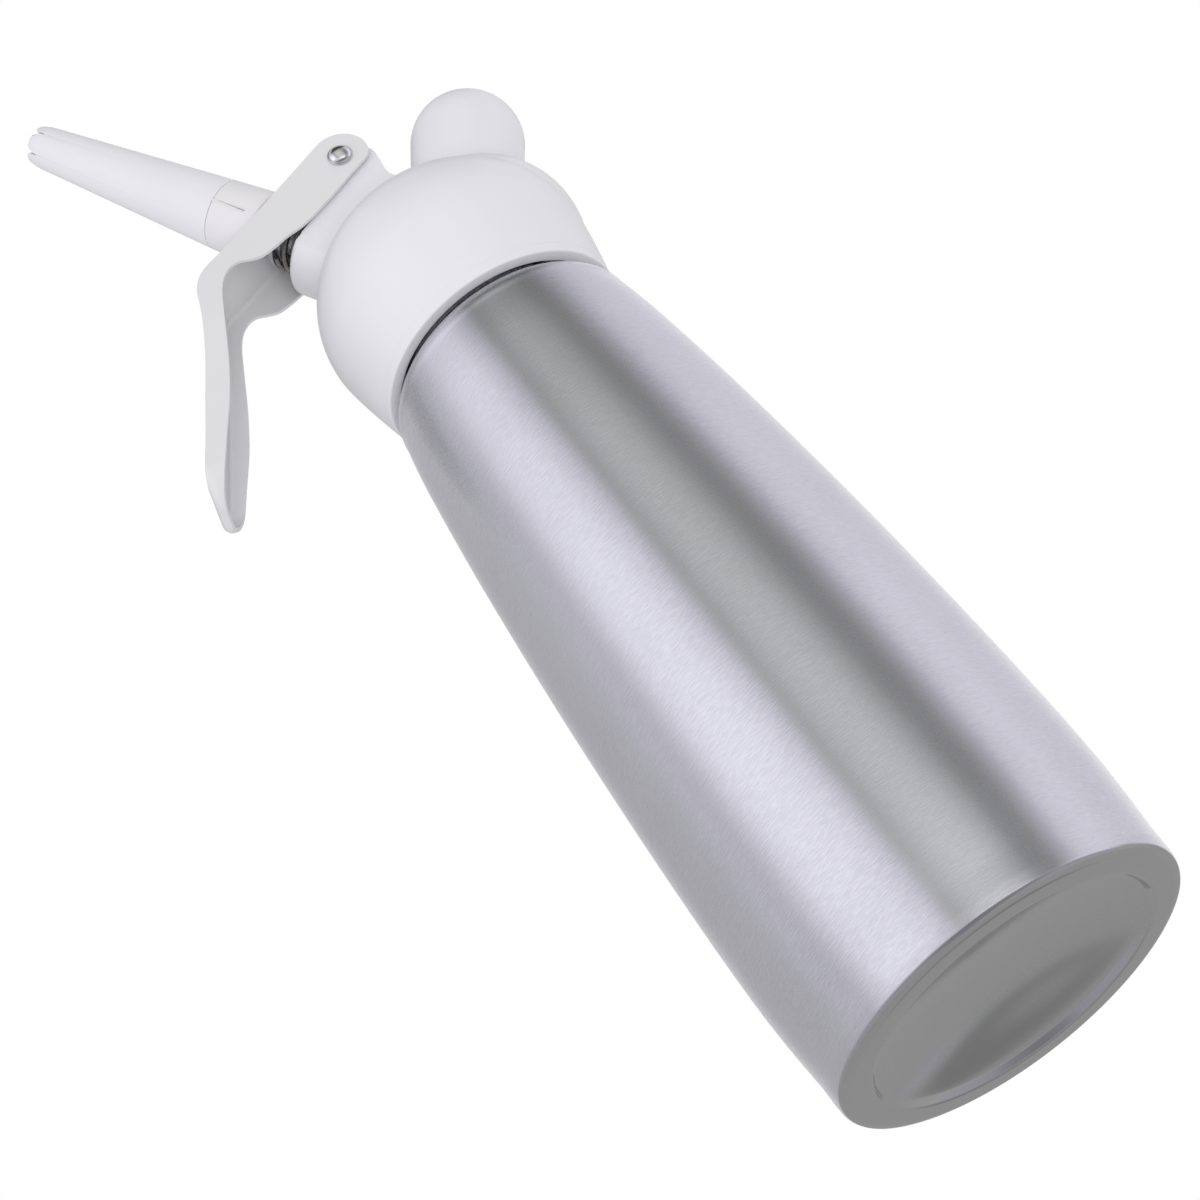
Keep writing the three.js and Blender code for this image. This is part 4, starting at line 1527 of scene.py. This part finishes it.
@dataclass
class Nozzle:
    """The adapter on the stem and the piping nozzle on it, on the valve's axis."""

    base_radius: float = 9.2
    top_radius: float = 8.5
    base: float = 53.7
    top: float = 66
    spigot_radius: float = 5.6
    spigot_length: float = 8.2
    bore_radius: float = 2.6
    stem_room: float = 3.9
    stem_reach: float = 62.3
    rib: tuple[float, float, float] = (0.5, 0.22, 9.5)
    rib_turn: float = 17
    gap: float = 0.14
    tip_radius: float = 5.05
    tip: float = 120.9
    tip_wall: float = 0.8
    tip_curl: Point = (0.5, 2.4)
    throat_radius: float = 4.9
    ring_room: Point = (7.45, 1.45)
    notch_depth: float = 3.3
    notch_width: float = 0.7
    lobe_round: Point = (1.5, 1.7)
    lobes: int = 6
    edge_round: float = 0.2

    def build(self) -> None:
        """Models the adapter and the nozzle."""
        self.build_adapter()
        self.build_nozzle()

    def moulded_rib(self, turn: float) -> Piece:
        """A thin rib along the adapter's cone.

        Args:
            turn: its angle round the axis.

        Returns:
            The rib's solid.
        """
        width, height, length = self.rib
        high = self.top - self.gap
        outer = self.top_radius + height
        rib = slab("rib", rounded([
            (-width / 2, high - length, 0.3), (width / 2, high - length, 0.3),
            (width / 2, high, 0.1), (-width / 2, high, 0.1),
        ], 3, closed=True), outer / 2 - self.bore_radius)
        bevel_edges(rib, self.edge_round, segments=2)
        lean = math.degrees(math.atan((self.base_radius - self.top_radius) / (self.top - self.base)))
        moved(rib, (0, outer / 2 + self.bore_radius, -self.top))
        moved(moved(rib, turns=(lean, 0, 0)), (0, 0, self.top))
        return moved(rib, turns=(0, 0, turn))

    def build_adapter(self) -> None:
        """Models the adapter with its two moulded ribs."""
        spigot_high = self.top + self.spigot_length
        adapter = turned("nozzle_adapter_cone", rounded([
            (self.stem_room, self.base, 0.3), (self.base_radius, self.base, 0.7),
            (self.top_radius, self.top, 0.12), (self.spigot_radius, self.top, 0.3),
            (self.spigot_radius, spigot_high, 0.5), (self.bore_radius, spigot_high, 0.3),
            (self.bore_radius, self.stem_reach, 0), (self.stem_room, self.stem_reach, 0),
        ], closed=True))
        combine(adapter, Cut.JOIN, *[self.moulded_rib(side - self.rib_turn) for side in (0, 180)])
        complete(adapter, VALVE_AXIS, WARM_PLASTIC, Body.VALVE, "nozzle_adapter")

    def notch(self, angle: float) -> Piece:
        """The cutter of one slot in the tip, with a round root and a mouth that leaves round lobes.

        Args:
            angle: its turn round the axis.

        Returns:
            The cutter.
        """
        half = self.notch_width / 2
        wide, deep = self.lobe_round
        right = arc((half + wide, self.tip - deep), (wide, deep), 180, 96, 10)
        right.append((right[-1][0], self.tip + OVERRUN))
        root = arc((0, self.tip - self.notch_depth + half), (half, half), 180, 360, 12)
        cutter = slab("notch", [*root, *right, *[(-x, z) for x, z in reversed(right)]], self.tip_radius)
        return moved(moved(cutter, (0, self.tip_radius, 0)), turns=(0, 0, angle))

    def build_nozzle(self) -> None:
        """Models the piping nozzle with its lobed tip."""
        low = self.top + self.gap
        socket = self.spigot_radius + self.gap
        socket_high = low + self.spigot_length
        ring, pocket = self.ring_room
        curl, reach = self.tip_curl
        outer = self.tip_radius + 0.1
        nozzle = turned("piping_nozzle", rounded([
            (ring, low, 0), (self.top_radius, low, 0.12), (outer, self.tip - reach, 4),
            (self.tip_radius - curl, self.tip, 0.3), (self.tip_radius - curl - self.tip_wall, self.tip, 0.3),
            (outer - self.tip_wall, self.tip - reach, 3), (self.throat_radius, socket_high, 0.4),
            (socket, socket_high, 0), (socket, low + pocket, 0), (ring, low + pocket, 0),
        ], closed=True))
        combine(nozzle, Cut.REMOVE, *[self.notch(360 / self.lobes * i) for i in range(self.lobes)])
        bevel_edges(nozzle, self.edge_round, segments=2)
        complete(nozzle, VALVE_AXIS, PLASTIC, Body.NOZZLE, "decorator_nozzle")


@dataclass
class ChargerHolder:
    """The holder with its domed end, on its own axis."""

    low: float = 33.3
    waist: float = 13
    waist_round: float = 0.35
    end_radius: float = 13.5
    end_centre: float = 48
    spigot_radius: float = 11.6
    spigot_low: float = 19.3
    bore: float = 9.7
    bore_end: float = 59.6
    thread_pitch: float = 2
    thread_depth: float = 0.25

    def build(self) -> None:
        """Models the holder."""
        thread = ridges(
            self.spigot_radius, self.thread_depth, self.thread_pitch, (self.spigot_low, self.low - 1), 56, 5)
        side = rounded([
            (self.spigot_radius, self.low, 0), (self.waist, self.low, self.waist_round),
            ((self.waist + self.end_radius) / 2, (self.low + self.end_centre) / 2, 0),
        ])
        end = arc((0, self.end_centre), (self.end_radius,) * 2, 0, 90, 48)
        inside = arc((0, self.bore_end - self.bore), (self.bore,) * 2, 90, 0, 16)
        profile = [*thread, *side, *end, *inside, (self.bore, self.spigot_low)]
        holder = turned("charger_holder_cap", profile)
        complete(holder, HOLDER_AXIS, PLASTIC, Body.HOLDER, "charger_holder")


INNER_PIECES = (
    (TURNED, ("head_core", "valve_bush", "valve_stem", "spring_cap", "charging_nipple")),
    (STEEL, ("seal_nut", "pivot_bush", "gas_charger", "piercing_pin")),
    (RUBBER, ("head_gasket", "stem_o_ring", "valve_seal", "nozzle_gasket", "charger_seal", "check_sleeve")),
)


@dataclass
class Dispenser:
    """The whole dispenser, in the order in which it goes together."""

    parts: tuple[Bottle, HeadCover, Lever, Spring, Nozzle, ChargerHolder]

    def build(self) -> None:
        """Builds every sub-assembly, and dresses the frame's own inner pieces."""
        for part in self.parts:
            log.info("building %s", type(part).__name__)
            part.build()
        for finish, names in INNER_PIECES:
            for name in names:
                dress(frame["nodes"][name], finish)


# Studio


def bearing(azimuth: float, elevation: float) -> Vector:
    """The unit vector at a bearing.

    Args:
        azimuth: degrees from +X towards +Y.
        elevation: degrees above the horizon.

    Returns:
        The vector.
    """
    turn = math.radians(azimuth)
    rise = math.radians(elevation)
    return Vector((math.cos(rise) * math.cos(turn), math.cos(rise) * math.sin(turn), math.sin(rise)))


def hide_from(item: Piece, *rays: str) -> None:
    """Hides an object from kinds of rays."""
    for ray in rays:
        setattr(item, "visible_" + ray, False)


@dataclass(frozen=True)
class Lamp:
    """A soft panel lamp.

    Attributes:
        name: the lamp's name.
        azimuth: its direction from the object in degrees.
        elevation: its angle above the horizon.
        distance: its distance in metres.
        size: its width in metres.
        power: its power in watts.
        colour: its colour.
    """

    name: str
    azimuth: float
    elevation: float
    distance: float
    size: float
    power: float
    colour: Colour

    def build(self, target: Vector) -> None:
        """Hangs the lamp and aims it.

        Args:
            target: the point that it is aimed at.
        """
        light = bpy.data.lights.new(self.name, "AREA")
        light.size = self.size
        light.energy = self.power
        light.color = self.colour
        lamp = bpy.data.objects.new(self.name, light)
        lamp.location = target + bearing(self.azimuth, self.elevation) * self.distance
        lamp.rotation_euler = (target - lamp.location).to_track_quat("-Z", "Y").to_euler()
        hide_from(lamp, "glossy")
        bpy.context.scene.collection.objects.link(lamp)


@dataclass(frozen=True)
class Spot:
    """A round patch of the tent.

    Attributes:
        azimuth: its direction in degrees.
        elevation: its angle above the horizon.
        inner: the angle up to which it is full.
        outer: the angle at which it has faded.
        colour: its colour.
    """

    azimuth: float
    elevation: float
    inner: float
    outer: float
    colour: Colour


def stops(tint: Colour, *levels: Point) -> Stops:
    """Stops of one tint round the tent, from (azimuth, brightness) pairs."""
    return [(azimuth, toned(level, tint)) for azimuth, level in levels]


LAVENDER = (1.0, 0.985, 1.07)
GREY_GREEN = (1.0, 1.01, 0.985)
MILD = (1.0, 0.995, 1.03)
TENT_SKIRT = [
    *stops(GREY_GREEN, (-180, 0.46), (-140, 0.40), (-104, 0.375), (-60, 0.38)),
    *stops(LAVENDER, (-10, 0.42), (30, 0.40), (62, 0.29), (85, 0.26), (110, 0.30), (150, 0.42), (180, 0.46)),
]
TENT_LOW = [
    *stops(GREY_GREEN, (-180, 0.46), (-140, 0.38), (-104, 0.37), (-60, 0.38)),
    *stops(LAVENDER, (-10, 0.46), (30, 0.72), (62, 0.80)),
    *stops(MILD, (80, 0.95), (95, 1.25), (112, 1.2)),
    *stops(GREY_GREEN, (124, 0.45), (135, 0.40)),
    *stops(LAVENDER, (146, 0.95), (165, 1.0), (180, 0.60)),
]
TENT_WALLS = [
    *stops(LAVENDER, (-180, 0.90), (-166, 0.86), (-150, 0.84)),
    *stops(MILD, (-136, 0.96), (-116, 1.15), (-100, 1.08), (-84, 0.74), (-66, 0.55),
           (-46, 0.57), (-26, 0.60)),
    *stops(LAVENDER, (-6, 0.73), (4, 0.67), (13, 0.92), (22, 1.20), (34, 1.27), (48, 1.25), (59, 1.14)),
    *stops(LAVENDER, (67, 0.92)),
    *stops(GREY_GREEN, (75, 0.46), (84, 0.69), (95, 0.76), (106, 0.70), (116, 0.50),
           (126, 0.29), (135, 0.28)),
    *stops(LAVENDER, (146, 0.50), (152, 0.84), (162, 0.92), (174, 0.96), (180, 0.90)),
]
TENT_UPPER = [
    *stops(LAVENDER, (-180, 0.72), (-156, 0.80)),
    *stops(MILD, (-144, 1.08), (-130, 1.22), (-110, 1.0), (-84, 0.80), (-56, 0.69), (-16, 0.63)),
    *stops(LAVENDER, (-2, 0.70), (6, 0.73), (16, 0.92), (34, 1.05), (46, 1.02), (58, 0.82), (66, 0.70)),
    *stops(GREY_GREEN, (74, 0.44), (84, 0.58), (94, 0.65), (106, 0.54), (116, 0.47),
           (128, 0.34), (138, 0.34)),
    *stops(LAVENDER, (150, 0.54), (164, 0.67), (180, 0.72)),
]
TENT_ROOF = [
    *stops(LAVENDER, (-180, 0.10), (-150, 0.40), (-60, 0.60), (30, 0.70)),
    *stops(GREY_GREEN, (80, 0.10), (140, 0.06), (180, 0.10)),
]
TENT_RINGS = ((-20, -12, TENT_LOW), (1, 8, TENT_WALLS), (34, 47, TENT_UPPER), (52, 59, TENT_ROOF))
TENT_SPOTS = (
    Spot(-107.5, -37, 5.5, 8.5, toned(0.24, GREY_GREEN)),
    Spot(-104.5, -36, 1.5, 4.5, toned(0.33, GREY_GREEN)),
    Spot(-112, -29, 1, 3.5, toned(0.42, LAVENDER)),
)
LAMPS = (
    Lamp("front_panel", 84, -34, 1.5, 0.8, 6.3, (1.0, 0.99, 1.0)),
    Lamp("side_panel", 15, 5, 1.6, 1.3, 3.4, (0.94, 0.93, 1.0)),
    Lamp("top_panel", 150, 65, 1.8, 1.2, 2.0, (1.0, 1.0, 0.98)),
)


@dataclass
class Studio:
    """The camera at the photograph's viewpoint, the soft light and the pale floor."""

    aim: Vector = Vector((0, -0.0041, 0.12543))
    view_azimuth: float = 75.794
    view_elevation: float = -31.151
    roll: float = -37.642
    distance: float = 0.6234
    lens: float = 88.362
    sensor: float = 36
    clip: Point = (0.05, 50)
    tent_radius: float = 6
    surround: Colour = (0.77, 0.77, 0.78)
    paper: Colour = (0.92, 0.92, 0.92)
    floor_size: float = 6

    def build(self) -> None:
        """Sets up the camera, the world, the tent, the floor and the lamps."""
        self.build_camera()
        self.build_world()
        self.build_tent()
        self.build_floor()
        for lamp in LAMPS:
            lamp.build(self.aim)

    def build_camera(self) -> None:
        """Places the camera below the base, turned as the photograph is."""
        forward = -bearing(self.view_azimuth, self.view_elevation)
        level = forward.cross(Vector((0, 0, 1))).normalized()
        upward = level.cross(forward)
        turn = math.radians(self.roll)
        right = level * math.cos(turn) + upward * math.sin(turn)
        up = upward * math.cos(turn) - level * math.sin(turn)
        camera = bpy.data.objects.new("camera", bpy.data.cameras.new("camera"))
        camera.data.lens = self.lens
        camera.data.sensor_width = self.sensor
        camera.data.clip_start, camera.data.clip_end = self.clip
        camera.matrix_world = Matrix.Translation(self.aim - forward * self.distance) @ Matrix(
            (right, up, -forward)).transposed().to_4x4()
        bpy.context.scene.collection.objects.link(camera)
        bpy.context.scene.camera = camera

    def build_world(self) -> None:
        """A pale surround: white where it is seen, and a little less as light."""
        world = bpy.data.worlds.new("surround")
        bpy.context.scene.world = world
        nodes = Nodes(world)
        rays = nodes.add("LightPath").outputs
        seen = nodes.maths("MAXIMUM", rays["Is Camera Ray"], rays["Is Glossy Ray"])
        seen = nodes.maths("MAXIMUM", seen, rays["Is Transmission Ray"])
        nodes.fill(
            nodes.tree.nodes["Background"],
            color=nodes.mixed(seen, self.surround, (1, 1, 1)), strength=1)

    def build_tent(self) -> None:
        """The studio's reflection tent: soft bright and dark panels that only reflections show."""
        activate(None)
        bpy.ops.mesh.primitive_uv_sphere_add(
            segments=48, ring_count=24, radius=self.tent_radius, location=self.aim)
        tent = bpy.context.object
        tent.name = "reflection_tent"
        hide_from(tent, "camera", "diffuse", "transmission", "shadow", "volume_scatter")
        tent.data.materials.append(self.tent_cloth())

    def tent_cloth(self) -> bpy.types.Material:
        """The tent's cloth, whose brightness changes round the object and with height.

        Returns:
            The material.
        """
        cloth = bpy.data.materials.new("tent_cloth")
        nodes = Nodes(cloth)
        nodes.tree.nodes.remove(nodes.tree.nodes["Principled BSDF"])
        place = nodes.add("TexCoord").outputs["Object"]
        split = nodes.add("SeparateXYZ", vector=place).outputs
        angle = nodes.maths("ARCTAN2", split["Y"], split["X"])
        turn = nodes.ranged(angle, 0, 1, (-math.pi, math.pi))
        whole = self.ramp(nodes, turn, TENT_SKIRT)
        for low, high, ring in TENT_RINGS:
            window = tuple(self.tent_radius * math.sin(math.radians(rise)) for rise in (low, high))
            rise = nodes.ranged(split["Z"], 0, 1, window)
            whole = nodes.mixed(rise, whole, self.ramp(nodes, turn, ring))
        facing = nodes.add("VectorMath", {"operation": "NORMALIZE"})
        nodes.feed(facing.inputs[0], place)
        for spot in TENT_SPOTS:
            away = nodes.add("VectorMath", {"operation": "DISTANCE"})
            nodes.feed(away.inputs[0], facing.outputs["Vector"])
            nodes.feed(away.inputs[1], bearing(spot.azimuth, spot.elevation))
            window = tuple(2 * math.sin(math.radians(angle) / 2) for angle in (spot.inner, spot.outer))
            near = nodes.ranged(away.outputs["Value"], 1, 0, window)
            whole = nodes.mixed(near, whole, spot.colour)
        glow = nodes.add("Emission", color=whole)
        nodes.fill(nodes.tree.nodes["Material Output"], surface=glow.outputs["Emission"])
        cloth.cycles.emission_sampling = "NONE"
        return cloth

    @staticmethod
    def ramp(nodes: Nodes, turn: Socket, colours: Stops) -> Socket:
        """A smooth run of colours round the tent.

        Args:
            nodes: the material's nodes.
            turn: the share of the way round, from azimuth -180 to 180.
            colours: (azimuth in degrees, colour) in order.

        Returns:
            The colour socket.
        """
        node = nodes.add("ValToRGB", fac=turn)
        node.color_ramp.interpolation = "EASE"
        elements = node.color_ramp.elements
        while len(elements) > 1:
            elements.remove(elements[-1])
        for i, (azimuth, colour) in enumerate(colours):
            spot = (azimuth + 180) / 360
            element = elements[0] if i == 0 else elements.new(spot)
            element.position = spot
            element.color = (*colour, 1)
        return node.outputs["Color"]

    def build_floor(self) -> None:
        """A pale floor under the foot, which shows the shadow from above and nothing from below."""
        activate(None)
        bpy.ops.mesh.primitive_grid_add(
            x_subdivisions=8, y_subdivisions=8, size=self.floor_size, location=(0, 0, 0))
        floor = bpy.context.object
        floor.name = "floor"
        hide_from(floor, "diffuse", "glossy", "shadow")
        paper = bpy.data.materials.new("floor_paper")
        nodes = Nodes(paper)
        shader = nodes.fill(nodes.tree.nodes["Principled BSDF"], base_color=(*self.paper, 1), roughness=0.9)
        side = nodes.add("MixShader", fac=nodes.add("NewGeometry").outputs["Backfacing"])
        nodes.feed(side.inputs[1], shader.outputs["BSDF"])
        nodes.feed(side.inputs[2], nodes.add("BsdfTransparent").outputs["BSDF"])
        nodes.fill(nodes.tree.nodes["Material Output"], surface=side.outputs["Shader"])
        floor.data.materials.append(paper)


def main() -> None:
    """Builds the dispenser and its studio."""
    logging.basicConfig(level=logging.INFO, format="%(name)s: %(message)s")
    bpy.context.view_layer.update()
    bpy.context.scene.view_settings.view_transform = "Standard"
    Dispenser((Bottle(), HeadCover(), Lever(), Spring(), Nozzle(), ChargerHolder())).build()
    Studio().build()


if __name__ == "__main__":
    main()
